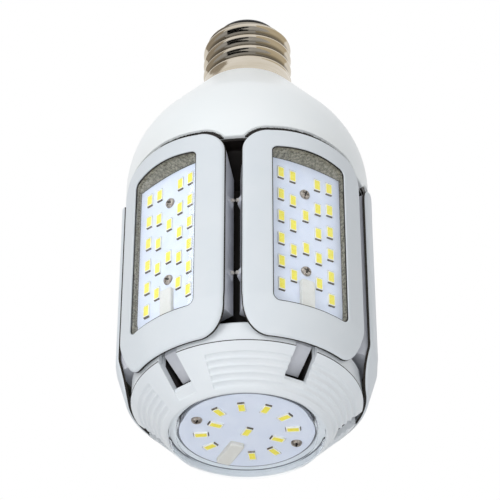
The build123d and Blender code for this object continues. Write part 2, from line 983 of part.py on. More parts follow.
def driver_choke():
    """Ring choke on the back of the driver board."""
    ring = Torus(choke_radius, choke_wire)
    return Pos(-driver_thickness / 2 - choke_wire, 0, choke_height) * Rot(0, 90, 0) * ring


def base_leads():
    """Leads from the driver board to the centre contact and over the spigot to the shell."""
    beside_board = driver_thickness / 2 + lead_radius
    stem_end = shell_levels()[3] - stem_depth
    contact_lead = Pos(beside_board, 0, 0) * round_plate(lead_radius, lead_start, stem_end)
    wall = thread_root - shell_sheet - 2 * seat_gap
    over = dome_neck_height() + spigot_height + lead_radius + spigot_gap
    inner = thread_root - shell_sheet - dome_wall - spigot_gap - lead_radius - lead_bend
    route = FilletPolyline(
        (beside_board, -inner, lead_start),
        (beside_board, -inner, over),
        (beside_board, -wall, over),
        radius=lead_bend,
    )
    section = Plane(origin=route @ 0, z_dir=route % 0) * Circle(lead_radius)
    return [contact_lead, sweep(section, path=route)]


def save(name, shape):
    """Writes one node, as one solid or a group of separate solids."""
    if isinstance(shape, list):
        shape = Compound(children=shape)
    export_step(shape, "parts/" + name + ".step")


save("screw_shell", screw_shell())
save("base_insulator", base_insulator())
save("centre_contact", centre_contact())
save("upper_housing", upper_housing())
save("core_column", core_column())
save("shoulder_ring", shoulder_ring())
save("lower_housing", lower_housing())
save("hinge_pins", hinge_pins())
save("housing_screws", housing_screws())
save("bottom_lens", bottom_lens())
save("bottom_board", drilled_for_bottom_screws(bottom_board()))
save("bottom_leds", on_bottom_places(light_package(), "package"))
save("bottom_board_screws", on_bottom_places(pan_screw(), "screw"))
save("bottom_wire_pad", on_bottom_places(wire_pad(bottom_pad_length), "pad")[0])
save("bottom_heat_plate", bottom_heat_plate())
save("driver_board", driver_board())
save("driver_transformer", driver_transformer())
save("driver_capacitors", driver_capacitors())
save("driver_choke", driver_choke())
save("base_leads", base_leads())

wing_pieces = {
    "frame": wing_frame(),
    "lens": wing_lens(),
    "board": screw_holes(wing_board()),
    "leds": wing_packages(),
    "wire_pad": wing_wire_pad(),
    "board_screws": wing_screws(),
    "tray": wing_tray(),
    "catch_tips": wing_catch_tips(),
}
for wing in range(wing_count):
    for piece, shape in wing_pieces.items():
        solids = shape if isinstance(shape, list) else [shape]
        placed = [turned(solid, wing) for solid in solids]
        save("wing_" + str(wing + 1) + "_" + piece, placed if len(placed) > 1 else placed[0])
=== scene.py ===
import json
from math import atan2, cos, pi, radians, sin, tan

import bmesh
import bpy
import numpy as np
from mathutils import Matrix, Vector

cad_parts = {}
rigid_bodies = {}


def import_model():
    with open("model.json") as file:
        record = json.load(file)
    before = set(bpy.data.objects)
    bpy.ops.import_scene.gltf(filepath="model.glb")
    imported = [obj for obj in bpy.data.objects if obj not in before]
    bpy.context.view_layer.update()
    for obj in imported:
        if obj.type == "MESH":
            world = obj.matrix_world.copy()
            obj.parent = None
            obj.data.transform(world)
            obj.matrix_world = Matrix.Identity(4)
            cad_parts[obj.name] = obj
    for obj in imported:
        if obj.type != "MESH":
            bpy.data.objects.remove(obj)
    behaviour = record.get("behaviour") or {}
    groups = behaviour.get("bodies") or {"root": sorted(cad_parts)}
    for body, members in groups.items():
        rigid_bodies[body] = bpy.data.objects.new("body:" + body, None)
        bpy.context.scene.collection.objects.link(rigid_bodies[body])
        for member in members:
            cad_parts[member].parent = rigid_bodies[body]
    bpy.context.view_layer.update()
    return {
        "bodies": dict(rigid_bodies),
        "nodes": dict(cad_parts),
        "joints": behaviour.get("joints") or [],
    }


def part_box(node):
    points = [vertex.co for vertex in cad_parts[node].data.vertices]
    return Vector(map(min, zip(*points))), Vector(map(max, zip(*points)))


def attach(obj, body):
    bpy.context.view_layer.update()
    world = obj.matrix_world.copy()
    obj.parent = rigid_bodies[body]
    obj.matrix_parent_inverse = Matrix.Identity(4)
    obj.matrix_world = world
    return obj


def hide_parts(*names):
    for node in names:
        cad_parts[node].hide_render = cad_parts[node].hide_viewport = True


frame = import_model()
nodes = frame["nodes"]
print("stage: frame loaded,", len(nodes), "solids")

# A screw-base retrofit lamp: white dome, five hinged light wings round a dark core, ribbed cone
# and a round light under a clear cap. Sizes in the dictionaries are millimetres.

mm = 0.001
wingBodies = sorted(name for name in frame["bodies"] if name.startswith("wing_"))
hinges = {joint["child"]: joint for joint in frame["joints"]}
wingAngles = {body: atan2(hinges[body]["pos_m"][1], hinges[body]["pos_m"][0]) for body in wingBodies}


def low(node):
    return np.array(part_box(node)[0]) / mm


def high(node):
    return np.array(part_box(node)[1]) / mm


# Places that several pieces share, read from the solids
lamp = {
    "bodyRadius": 53.5,
    "wingGap": 8.6,
    "frameTop": high("wing_1_frame")[2],
    "frameBottom": low("wing_1_frame")[2],
    "boardFace": 46.5,
    "domeRadius": high("upper_housing")[0],
    "domeRim": low("upper_housing")[2],
    "windowBottom": low("wing_1_lens")[2] - 0.1,
    "windowTop": high("wing_1_lens")[2] + 0.1,
}
lamp["windowMiddle"] = (lamp["windowTop"] + lamp["windowBottom"]) / 2


# Mesh helpers

def gridFaces(rows, cols, wrapRows=False, wrapCols=False):
    # quads between neighbouring points of a grid, running round where a direction is closed
    i = np.arange(rows if wrapRows else rows - 1)[:, None]
    j = np.arange(cols if wrapCols else cols - 1)[None, :]
    nextI, nextJ = (i + 1) % rows, (j + 1) % cols
    corners = [i * cols + j, i * cols + nextJ, nextI * cols + nextJ, nextI * cols + j]
    return np.stack(corners, -1).reshape(-1, 4)


def surface(points, wrapRows=False, wrapCols=False, slot=0):
    # a grid of points (rows, cols, 3) in millimetres as loose quads; slot is one number or one a quad
    rows, cols = points.shape[:2]
    faces = gridFaces(rows, cols, wrapRows, wrapCols)
    return points.reshape(-1, 3) * mm, faces, np.zeros(len(faces), int) + slot


def turnedAbout(points, angle):
    # points turned about the lamp axis
    c, s = cos(angle), sin(angle)
    x = points[..., 0] * c - points[..., 1] * s
    y = points[..., 0] * s + points[..., 1] * c
    return np.stack([x, y, points[..., 2]], -1)


def standIn(name, mesh, sharp, body, replaced):
    # a smooth object with sharp edges past an angle, which rides its body and stands for the solids
    mesh.polygons.foreach_set("use_smooth", np.ones(len(mesh.polygons), bool))
    mesh.set_sharp_from_angle(angle=radians(sharp))
    piece = bpy.data.objects.new(name, mesh)
    bpy.context.scene.collection.objects.link(piece)
    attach(piece, body)
    if replaced:
        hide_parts(*replaced)
    return piece


def makePiece(name, parts, materials, body, replaced=(), sharp=35):
    # one object out of surfaces: doubled points are merged and faces are made to point outwards
    verts, faces, slots, start = [], [], [], 0
    for points, quads, slot in parts:
        verts.append(points)
        faces.append(quads + start)
        slots.append(slot)
        start += len(points)
    mesh = bpy.data.meshes.new(name)
    mesh.from_pydata(np.concatenate(verts), [], np.concatenate(faces).tolist())
    mesh.polygons.foreach_set("material_index", np.concatenate(slots).astype(np.int32))
    for material in materials:
        mesh.materials.append(material)
    cleaned = bmesh.new()
    cleaned.from_mesh(mesh)
    bmesh.ops.remove_doubles(cleaned, verts=cleaned.verts, dist=0.004 * mm)
    bmesh.ops.dissolve_degenerate(cleaned, dist=0.002 * mm, edges=cleaned.edges)
    bmesh.ops.recalc_face_normals(cleaned, faces=cleaned.faces)
    cleaned.to_mesh(mesh)
    cleaned.free()
    standIn(name, mesh, sharp, body, replaced)


def softCopy(node, material, body, bevel, angle=32):
    # a merged copy of a solid with its edges rounded by the bevel, standing for that solid
    mesh = nodes[node].data.copy()
    cleaned = bmesh.new()
    cleaned.from_mesh(mesh)
    bmesh.ops.remove_doubles(cleaned, verts=cleaned.verts, dist=0.002 * mm)
    bmesh.ops.dissolve_limit(cleaned, angle_limit=radians(0.4), verts=cleaned.verts, edges=cleaned.edges)
    cleaned.to_mesh(mesh)
    cleaned.free()
    mesh.materials.clear()
    mesh.materials.append(material)
    piece = standIn(node + "Soft", mesh, angle, body, [node])
    rounding = piece.modifiers.new("roundedEdges", "BEVEL")
    rounding.width = bevel * mm
    rounding.segments = 2
    rounding.limit_method = "ANGLE"
    rounding.angle_limit = radians(angle)
    rounding.harden_normals = True
    rounding.use_clamp_overlap = True


def roundedPath(points, radii, steps=6):
    # a polyline whose corners are arcs: each arc touches both runs at radius * tan(half the turn)
    points = np.array(points, float)
    path = [points[:1]]
    for k in range(1, len(points) - 1):
        back = points[k - 1] - points[k]
        ahead = points[k + 1] - points[k]
        back = back / np.linalg.norm(back)
        ahead = ahead / np.linalg.norm(ahead)
        if radii[k] <= 0:
            path.append(points[k:k + 1])
            continue
        half = np.arccos(np.clip(-back @ ahead, -1, 1)) / 2
        start = points[k] + back * radii[k] * tan(half)
        end = points[k] + ahead * radii[k] * tan(half)
        middle = points[k] + (back + ahead) / np.linalg.norm(back + ahead) * radii[k] / cos(half)
        t = np.linspace(0, 1, steps)[:, None]
        spread = np.sin((1 - t) * 2 * half) / sin(2 * half) * (start - middle)
        spread = spread + np.sin(t * 2 * half) / sin(2 * half) * (end - middle)
        path.append(middle + spread)
    path.append(points[-1:])
    return np.concatenate(path)


def revolved(profile, steps=192, slot=0, radiusShift=None):
    # a profile of (radius, height) turned about the lamp axis, with an optional change of radius
    angle = np.linspace(0, 2 * pi, steps, endpoint=False)[None, :]
    radius = np.repeat(profile[:, :1], steps, 1)
    height = np.repeat(profile[:, 1:], steps, 1)
    if radiusShift is not None:
        radius = radius + radiusShift(angle + 0 * radius, height)
    points = np.stack([radius * np.cos(angle), radius * np.sin(angle), height], -1)
    return surface(points, wrapCols=True, slot=slot)


# Material helpers

def linear(hexColour):
    # sRGB hex to linear light, opaque
    values = [int(hexColour[k:k + 2], 16) / 255 for k in (1, 3, 5)]
    return [v / 12.92 if v <= 0.04045 else ((v + 0.055) / 1.055) ** 2.4 for v in values] + [1.0]


def addNode(owner, kind, settings=None, links=None):
    # adds a node to a material or world, sets its properties or sockets by name, and links sockets
    # given as (node, output)
    tree = owner.node_tree
    node = tree.nodes.new(kind)
    for key, value in (settings or {}).items():
        if isinstance(key, str) and hasattr(node, key):
            setattr(node, key, value)
        else:
            node.inputs[key].default_value = value
    for key, (source, output) in (links or {}).items():
        tree.links.new(source.outputs[output], node.inputs[key])
    return node


def newMaterial(name, base, roughness, metallic=0.0, ior=1.5, **extra):
    # an empty material with a Principled shader, ready for its pattern
    material = bpy.data.materials.new(name)
    material.use_nodes = True
    material.node_tree.nodes.clear()
    shader = addNode(material, "ShaderNodeBsdfPrincipled", {
        "Base Color": linear(base), "Roughness": roughness, "Metallic": metallic, "IOR": ior})
    for socket, value in extra.items():
        shader.inputs[socket.replace("_", " ")].default_value = value
    addNode(material, "ShaderNodeOutputMaterial", links={"Surface": (shader, "BSDF")})
    material["shader"] = shader.name
    return material


def shaderOf(material):
    return material.node_tree.nodes[material["shader"]]


def toOutput(material, node, socket):
    # what the material shows comes from this node instead
    tree = material.node_tree
    output = next(node for node in tree.nodes if node.type == "OUTPUT_MATERIAL")
    tree.links.new(node.outputs[socket], output.inputs["Surface"])


def addPattern(material, grainMm, colours, spread, bump=0.0, bumpMm=0.05, stretch=(1, 1, 1), rough=None):
    # noise of a real grain size in Object coordinates drives the colour, the bump and the roughness
    tree = material.node_tree
    shader = shaderOf(material)
    place = addNode(material, "ShaderNodeTexCoord")
    scaled = addNode(material, "ShaderNodeMapping", {"Scale": stretch}, {"Vector": (place, "Object")})
    noise = addNode(material, "ShaderNodeTexNoise", {
        "Scale": 1000.0 / grainMm, "Detail": 4.0, "Roughness": 0.55}, {"Vector": (scaled, "Vector")})
    ramp = addNode(material, "ShaderNodeValToRGB", links={"Fac": (noise, "Fac")})
    for stop, share, colour in zip(ramp.color_ramp.elements, (0.5 - spread, 0.5 + spread), colours):
        stop.position = share
        stop.color = linear(colour)
    tree.links.new(ramp.outputs["Color"], shader.inputs["Base Color"])
    if rough:
        span = addNode(material, "ShaderNodeMapRange", {
            "From Min": 0.3, "From Max": 0.7, "To Min": rough[0], "To Max": rough[1]},
            {"Value": (noise, "Fac")})
        tree.links.new(span.outputs["Result"], shader.inputs["Roughness"])
    if bump:
        relief = addNode(material, "ShaderNodeTexNoise", {
            "Scale": 1000.0 / bumpMm, "Detail": 2.0}, {"Vector": (scaled, "Vector")})
        lift = addNode(material, "ShaderNodeBump", {
            "Strength": bump, "Distance": 0.0001}, {"Height": (relief, "Fac")})
        tree.links.new(lift.outputs["Normal"], shader.inputs["Normal"])
    return material


# Materials

# Gloss-moulded polycarbonate: near-white with a cool cast, smooth with a faint flow waviness
domePolycarbonate = newMaterial("mouldedPolycarbonateDome", "#f3f7f8", 0.34, ior=1.58)
addPattern(domePolycarbonate, 30, ("#f0f5f6", "#f5f8f8"), 0.3, bump=0.05, bumpMm=1.5)

# Satin-moulded ABS bezel: pale cool grey, fine spark texture
bezelAbs = newMaterial("satinMouldedAbs", "#dde3e8", 0.45, ior=1.53)
addPattern(bezelAbs, 18, ("#d9e0e5", "#e1e6ea"), 0.3, bump=0.08, bumpMm=0.9, rough=(0.4, 0.52))

# Gloss-moulded ABS cone and ring: cool white, slightly translucent
coneAbs = newMaterial("glossMouldedAbsCone", "#e6ebef", 0.32, ior=1.53)
addPattern(coneAbs, 14, ("#e2e8ec", "#eaeef1"), 0.3, bump=0.06, bumpMm=1.2)

# Powder-coated cast aluminium tray: pale lavender grey, orange-peel skin
trayPowder = newMaterial("powderCoatedCastAluminium", "#d2d5dc", 0.5, ior=1.5)
addPattern(trayPowder, 6, ("#cbced6", "#d9dbe1"), 0.25, bump=0.2, bumpMm=0.8, rough=(0.42, 0.6))

# Black-anodised extruded aluminium core: brown-black with draw lines along the axis; the same colour paints
# shade in the dome's gap and the hinge slots
darkCoreAndShade = newMaterial("blackAnodisedCoreAndPaintedShade", "#1d1816", 0.5, metallic=0.3)
addPattern(darkCoreAndShade, 3, ("#151110", "#26201d"), 0.25, bump=0.15, bumpMm=0.6, stretch=(1, 1, 0.08))

# Nickel-plated rolled brass shell: warm silver with faint rolling marks round it
shellNickel = newMaterial("nickelPlatedShell", "#cfc6b6", 0.08, metallic=1.0)
addPattern(shellNickel, 5, ("#c6bcaa", "#d9d1c4"), 0.25, bump=0.04, bumpMm=0.5,
           stretch=(0.3, 0.3, 2.0), rough=(0.06, 0.11))


def paintShadeInRoots(material, root, rise, shade):
    # painted shade and dark reflection in the thread: the colour is multiplied by the shade where the
    # distance from the lamp's axis is less than root, and by less of it up to root + rise (millimetres)
    tree = material.node_tree
    shader = shaderOf(material)
    plain = shader.inputs["Base Color"].links[0].from_socket
    place = addNode(material, "ShaderNodeTexCoord")
    flat = addNode(material, "ShaderNodeVectorMath", {"operation": "MULTIPLY", 1: (1.0, 1.0, 0.0)},
                   {0: (place, "Object")})
    radius = addNode(material, "ShaderNodeVectorMath", {"operation": "LENGTH"}, {0: (flat, "Vector")})
    share = addNode(material, "ShaderNodeMapRange", {
        "From Min": root / 1000, "From Max": (root + rise) / 1000, "To Min": shade, "To Max": 1.0},
        {"Value": (radius, "Value")})
    mixed = addNode(material, "ShaderNodeVectorMath", {"operation": "SCALE"}, {"Scale": (share, "Result")})
    tree.links.new(plain, mixed.inputs[0])
    tree.links.new(mixed.outputs["Vector"], shader.inputs["Base Color"])


# painted shade and reflection darken the roots of the thread
paintShadeInRoots(shellNickel, 18.0, 0.75, 0.3)

# Pressed black phenolic insulator: deep black; a low IOR keeps the white backdrop out of it
insulatorBlack = newMaterial("pressedBlackPhenolic", "#060607", 0.3, ior=1.2)
addPattern(insulatorBlack, 4, ("#08080a", "#161617"), 0.3, bump=0.1, bumpMm=0.7)

# Tinned brass contact
contactTin = newMaterial("tinnedBrassContact", "#b9ad98", 0.3, metallic=1.0)
addPattern(contactTin, 2, ("#a5977f", "#cbc2b1"), 0.25, bump=0.1, bumpMm=0.4, rough=(0.22, 0.4))

# Solder-mask-white aluminium board: pale lavender, smooth with a faint mottling
boardMask = newMaterial("whiteSolderMaskBoard", "#dde3f0", 0.4, ior=1.5)
addPattern(boardMask, 7, ("#d8dfed", "#e2e7f2"), 0.25, bump=0.05, bumpMm=0.7)

# White PPA light package: off-white, satin
packageWhite = newMaterial("mouldedPpaPackage", "#f0eee4", 0.45, ior=1.5)
addPattern(packageWhite, 2, ("#e9e6d8", "#f5f3ec"), 0.3, bump=0.05, bumpMm=0.4)

# Phosphor-filled silicone: strong lemon yellow, soft gloss
phosphorYellow = newMaterial("phosphorSilicone", "#f6ea4a", 0.35, ior=1.41)
addPattern(phosphorYellow, 1.2, ("#efdd3c", "#faf06c"), 0.3, bump=0.08, bumpMm=0.3)

# Solder fillets at the ends of a package: dark tin, built up over the package's end walls as painted shade
solderAndEndShade = newMaterial("solderFilletAndEndShade", "#6a6358", 0.45, metallic=0.5)
addPattern(solderAndEndShade, 0.8, ("#4a443c", "#857c6e"), 0.2, bump=0.2, bumpMm=0.25)

# Zinc-plated pan screws: warm steel with turning marks
screwZinc = newMaterial("zincPlatedSteel", "#a89e92", 0.3, metallic=1.0)
addPattern(screwZinc, 1.2, ("#8d8175", "#c3bab0"), 0.25, bump=0.15, bumpMm=0.3, rough=(0.22, 0.42))

# Bright nickel-plated buttons at the ends of the catches
tipNickel = newMaterial("nickelPlatedButton", "#dcd7cf", 0.35, metallic=0.7)
addPattern(tipNickel, 0.8, ("#cdc7be", "#ebe7e0"), 0.25, bump=0.1, bumpMm=0.3, rough=(0.28, 0.45))

# Moulded nylon wire cover: creamy white, matt
padNylon = newMaterial("mouldedNylonCover", "#dcdad2", 0.6, ior=1.53)
addPattern(padNylon, 3, ("#d6d4cb", "#e1dfd8"), 0.3, bump=0.08, bumpMm=0.5)

# Textured side wall of the clear cover: grey-brown, grainy; the grey-brown is painted shade of the wall in
# shadow
coverWallShade = newMaterial("coverWallPaintedShade", "#7a7767", 0.5, ior=1.49)
addPattern(coverWallShade, 1.0, ("#504d40", "#a19d8c"), 0.16, bump=0.4, bumpMm=0.6)

# Dark colour in the bottom of a screw head's driver recess: painted shade
recessShade = newMaterial("screwRecessPaintedShade", "#2a241f", 0.6, metallic=0.5)
addPattern(recessShade, 0.8, ("#1c1714", "#3c342d"), 0.25, bump=0.1, bumpMm=0.3)

# Near black, matt: painted shade in gaps, along seams and on the bezels' back edges
shadeNearBlack = newMaterial("siliconeGasket", "#26221f", 0.7, ior=1.41)
addPattern(shadeNearBlack, 1, ("#1b1816", "#322d29"), 0.3, bump=0.1, bumpMm=0.3)

# Milled aluminium heat plate, glass-fibre board, ferrite, capacitor sleeve and wire: inside the lamp
plateMilled = newMaterial("milledAluminiumPlate", "#c2c4c6", 0.35, metallic=1.0)
addPattern(plateMilled, 2, ("#b3b5b8", "#cfd1d3"), 0.2, bump=0.1, bumpMm=0.3, stretch=(4, 0.3, 1))
driverFibre = newMaterial("glassFibreBoard", "#1d5a36", 0.45, ior=1.55)
addPattern(driverFibre, 1.5, ("#174c2d", "#24683f"), 0.25, bump=0.1, bumpMm=0.4)
ferriteWound = newMaterial("woundFerrite", "#2e2c2d", 0.6, ior=1.5)
addPattern(ferriteWound, 1, ("#252324", "#3a3736"), 0.25, bump=0.3, bumpMm=0.6, stretch=(1, 1, 5))
capacitorSleeve = newMaterial("capacitorSleeveFilm", "#191c2b", 0.3, ior=1.5)
addPattern(capacitorSleeve, 4, ("#141724", "#212539"), 0.3, bump=0.05, bumpMm=0.8)
leadSleeve = newMaterial("siliconeWireSleeve", "#8f1d16", 0.5, ior=1.41)
addPattern(leadSleeve, 2, ("#7e1812", "#9e251c"), 0.3, bump=0.05, bumpMm=0.5)


def clearPlastic(name, tint, shade, roughness, ior):
    # clear polycarbonate: bends what the eye sees, and lets the shade's part of the lamps' light
    # straight through
    material = newMaterial(name, tint, roughness, ior=ior, Transmission_Weight=1.0)
    tree = material.node_tree
    shader = shaderOf(material)
    place = addNode(material, "ShaderNodeTexCoord")
    flow = addNode(material, "ShaderNodeTexNoise", {
        "Scale": 1000.0 / 14, "Detail": 1.0}, {"Vector": (place, "Object")})
    lift = addNode(material, "ShaderNodeBump", {
        "Strength": 0.03, "Distance": 0.0001}, {"Height": (flow, "Fac")})
    tree.links.new(lift.outputs["Normal"], shader.inputs["Normal"])
    rays = addNode(material, "ShaderNodeLightPath")
    through = addNode(material, "ShaderNodeBsdfTransparent", {"Color": linear(shade)})
    mix = addNode(material, "ShaderNodeMixShader", links={
        "Fac": (rays, "Is Shadow Ray"), 1: (shader, "BSDF"), 2: (through, "BSDF")})
    toOutput(material, mix, "Shader")
    return material


# Clear injection-moulded polycarbonate: water-clear with a faint flow wave. The real IOR of 1.58 gives
# dark rims that the photo doesn't show, so both have a lower one, matched to the look
windowClear = clearPlastic("clearMouldedWindow", "#fbfdff", "#dfe3ea", 0.03, 1.3)
capClear = clearPlastic("clearMouldedCap", "#fbfcfd", "#f4f6f9", 0.04, 1.03)
print("stage: materials made")


# Dome

dome = {
    "side": 9.0, "arcRadius": 47.0, "slope": 38.5, "neckRadius": 22.6, "wall": 2.4, "rimRound": 0.7,
    "neckRound": 2.0, "shellHole": 17.2, "scallopDepth": 1.0, "scallopGap": 1.0, "scallopRise": 1.8,
    "scallopEdge": 0.35, "paintedShadeGap": 0.8, "frameCorner": 10.5, "frameArch": 1.4, "reach": 40, "outerSkin": 0.6,
    "uprightRows": 56, "steps": 760,
}


def frameHalfWidth():
    # half the width of a wing frame: five wings, with the gap between them measured on the body circle
    return lamp["bodyRadius"] * sin(pi / 5 - np.arcsin(lamp["wingGap"] / 2 / lamp["bodyRadius"]))


def frameDistance(across, height):
    # signed distance to a wing frame's upper outline, an arched box with round corners (negative
    # inside), raised by the room that the wing needs above it
    half = frameHalfWidth()
    height = height - dome["scallopRise"]
    corner = dome["frameCorner"]
    arch = dome["frameArch"] * (1 - (np.clip(across, -half, half) / (half - corner)) ** 2)
    top = lamp["frameTop"] - dome["frameArch"] + np.maximum(arch, 0)
    qx = np.abs(across) - (half - corner)
    qz = height - (top - corner)
    return np.hypot(np.maximum(qx, 0), np.maximum(qz, 0)) + np.minimum(np.maximum(qx, qz), 0) - corner


def scallops(angle, height):
    # the dome steps in by the scallop depth round each frame, over a soft edge
    radius = lamp["domeRadius"]
    shift = np.zeros_like(angle)
    for wingAngle in wingAngles.values():
        away = (angle - wingAngle + pi) % (2 * pi) - pi
        near = np.abs(away) < radians(dome["reach"])
        gap = frameDistance(radius * np.sin(away), height) - dome["scallopGap"]
        step = np.clip(0.5 - gap / dome["scallopEdge"], 0, 1)
        shift = np.where(near, np.minimum(shift, -dome["scallopDepth"] * step * step * (3 - 2 * step)), shift)
    return shift


def domeProfile(inset):
    # upright side, arc and straight slope up to the neck, as the solid has them
    slope = radians(dome["slope"])
    radius = lamp["domeRadius"] - inset
    arc = dome["arcRadius"] - inset
    sideTop = lamp["domeRim"] + dome["side"]
    centre = lamp["domeRadius"] - dome["arcRadius"]
    t = np.linspace(0, slope, 30)
    bow = np.stack([centre + arc * np.cos(t), sideTop + arc * np.sin(t)], -1)
    neck = dome["neckRadius"] - inset
    neckHeight = bow[-1, 1] + (bow[-1, 0] - neck) / tan(slope)
    rise = np.linspace(0, 1, 16)[1:, None]
    cone = bow[-1] + rise * (np.array([neck, neckHeight]) - bow[-1])
    levels = np.linspace(lamp["domeRim"], sideTop, dome["uprightRows"], endpoint=False)
    upright = np.stack([np.full(len(levels), radius), levels], -1)
    return upright, bow, cone


def makeDome():
    # the profile runs up the outside, round the neck and back down the inside; quads of the outer skin
    # that lie in the gap round a frame's top take the dark core colour: painted shade in the gap
    upright, bow, cone = domeProfile(0)
    innerUpright, innerBow, innerCone = domeProfile(dome["wall"])
    t = np.linspace(0, pi / 2, 6)[:, None]
    rimCentre = np.array([lamp["domeRadius"] - dome["rimRound"], lamp["domeRim"] + dome["rimRound"]])
    rimArc = rimCentre + dome["rimRound"] * np.concatenate([np.sin(t), -np.cos(t)], 1)
    above = upright[upright[:, 1] > lamp["domeRim"] + dome["rimRound"]]
    neck = roundedPath([bow[-1], cone[-1], (dome["shellHole"], cone[-1, 1])], [0, dome["neckRound"], 0], 9)
    slope = bow[-1] + np.linspace(0, 1, 14)[:, None] * (neck[1] - bow[-1])
    inside = np.concatenate([innerUpright[:1], innerUpright[8::8], innerBow[::3], innerCone[::4]])[::-1]
    profile = np.concatenate([rimArc, above, bow[1:], slope[1:], neck[2:], inside])
    profile = np.concatenate([profile, profile[:1]])
    points, faces, slots = revolved(profile, dome["steps"], radiusShift=scallops)
    middle = points[faces].mean(1) / mm
    angle = np.arctan2(middle[:, 1], middle[:, 0])
    outer = np.hypot(middle[:, 0], middle[:, 1]) > lamp["domeRadius"] - dome["wall"] + dome["outerSkin"]
    # painted shade: the dome's outer faces in the gap round each frame top are coloured dark
    for wingAngle in wingAngles.values():
        away = (angle - wingAngle + pi) % (2 * pi) - pi
        gap = frameDistance(lamp["domeRadius"] * np.sin(away), middle[:, 2])
        slots = np.where(outer & (np.abs(away) < radians(dome["reach"])) & (gap < dome["paintedShadeGap"]), 1, slots)
    makePiece("domeShell", [(points, faces, slots)], [domePolycarbonate, darkCoreAndShade], "lamp_body",
              ["upper_housing"], sharp=50)


makeDome()
print("stage: dome made")


# Screw shell, insulator and contact

base = {
    "pitch": 6.35, "crest": 19.75, "root": 18.0, "skirt": 10.4, "skirtFlare": 0.35, "shoulder": 3.0,
    "mouth": 14.6, "sheet": 0.5, "fadeLow": 2.6, "fadeHigh": 2.0, "topGap": 0.9, "front": -pi / 2,
}


def screwShell():
    # radius over (height, angle): a cosine of height / pitch less the share of a turn, so the thread
    # climbs one pitch a turn; it fades out into the straight skirt below and the shoulder above
    shellLow, shellHigh = low("screw_shell")[2], high("screw_shell")[2]
    threadStart = shellLow + base["skirt"]
    threadEnd = shellHigh - base["shoulder"]
    bodyEnd = threadEnd - base["topGap"]
    height = np.linspace(shellLow, bodyEnd, 190)[:, None]
    angle = np.linspace(0, 2 * pi, 256, endpoint=False)[None, :]
    turn = (height - threadStart) / base["pitch"] - 0.25 - (angle - base["front"]) / (2 * pi)
    wave = 0.5 - 0.5 * np.cos(2 * pi * turn)
    rise = np.clip((height - threadStart + base["fadeLow"]) / base["fadeLow"], 0, 1)
    drop = np.clip((bodyEnd - height) / base["fadeHigh"], 0, 1)
    rise = rise * rise * (3 - 2 * rise)
    drop = drop * drop * (3 - 2 * drop)
    thread = base["root"] + (base["crest"] - base["root"]) * wave
    flare = base["skirtFlare"] * np.clip(1 - (height - shellLow) / (0.6 * base["skirt"]), 0, 1) ** 1.5
    radius = thread * rise + (1 - rise) * (base["crest"] + flare)
    radius = radius * drop + (1 - drop) * (base["root"] + 0.3)
    body = np.stack([radius * np.cos(angle), radius * np.sin(angle), height + 0 * angle], -1)
    cap = roundedPath([
        (base["root"] + 0.3, bodyEnd),
        (base["root"] - 0.8, bodyEnd + 1.1),
        (base["mouth"] + 0.6, bodyEnd + 2.2),
        (base["mouth"], bodyEnd + 2.2),
        (base["mouth"], bodyEnd + 1.2),
    ], [0, 0.8, 0.4, 0.15, 0])
    foot = base["crest"] + base["skirtFlare"]
    edge = np.array([(foot, shellLow), (foot - base["sheet"], shellLow),
                     (base["crest"] - base["sheet"], shellLow + 3)])
    return [surface(body, wrapCols=True), revolved(cap, 256), revolved(edge, 256)]


makePiece("screwShellRolled", screwShell(), [shellNickel], "lamp_body", ["screw_shell"], sharp=40)


def insulatorAndContact():
    # both are turned profiles with rounded corners
    bottom, top = low("base_insulator")[2], high("base_insulator")[2]
    insulator = roundedPath([
        (5.1, bottom - 1.4), (base["mouth"] - 0.1, bottom - 1.4), (base["mouth"] - 0.1, top - 2.5),
        (13.8, top - 1.2), (12.4, top), (7.6, top), (6.9, top - 0.4), (5.1, top - 0.4), (5.1, bottom - 1.4),
    ], [0, 0.2, 0.3, 0.5, 0.3, 0.3, 0.1, 0, 0])
    contactTop = high("centre_contact")[2]
    contact = roundedPath([
        (0, top - 4), (5.0, top - 4), (5.0, top), (7.2, top), (7.2, contactTop - 1.4), (5.2, contactTop),
        (3.0, contactTop), (2.2, contactTop - 0.3), (0, contactTop - 0.3),
    ], [0, 0, 0, 0.2, 1.0, 1.0, 0.3, 0.3, 0])
    makePiece("insulatorPressed", [revolved(insulator, 144)], [insulatorBlack], "lamp_body",
              ["base_insulator"])
    makePiece("contactButton", [revolved(contact, 96)], [contactTin], "lamp_body", ["centre_contact"])


insulatorAndContact()
print("stage: screw base made")


# Wing frames, windows and their walls

wing = {
    "skin": 1.8, "lipHeight": 15.0, "lipSlope": 16.7, "topCorner": 10.5, "footWidth": 11.9,
    "footHeight": 18.5, "arch": 1.4, "windowSideMargin": 10.6, "windowCorner": 3.0, "windowArch": 1.8,
    "wall": 1.5, "edgeRound": 0.9, "windowRound": 0.4, "windowLip": 0.55, "creaseSoft": 1.6,
    "lensDepth": 0.9, "lensThick": 1.5, "shadeBand": 0.35, "shadeSealWidth": 0.3, "shadeSealShow": 0.45,
    "footInset": 0.8, "topDrop": 2.4, "backInset": 0.5, "landWidth": 1.7, "lift": 0.02, "lensFit": 0.15,
    "counts": (30, 14, 70, 30, 26, 30, 70, 14),
}


def arcThrough(first, middle, last, count):
    # points along the circle through three points, from the first to the last: the centre solves
    # 2 (p2 - p1) . c = |p2|^2 - |p1|^2 and the same for p3
    p1, p2, p3 = (np.array(p, float) for p in (first, middle, last))
    sums = [p2 @ p2 - p1 @ p1, p3 @ p3 - p1 @ p1]
    centre = np.linalg.solve(2 * np.array([p2 - p1, p3 - p1]), sums)
    a1, a3 = atan2(*(p1 - centre)[::-1]), atan2(*(p3 - centre)[::-1])
    if abs(a3 - a1) > pi:
        a3 += 2 * pi if a3 < a1 else -2 * pi
    a = np.linspace(a1, a3, count, endpoint=False)
    return centre + np.linalg.norm(p1 - centre) * np.stack([np.cos(a), np.sin(a)], -1)


def straight(first, last, count):
    return np.linspace(first, last, count, endpoint=False)


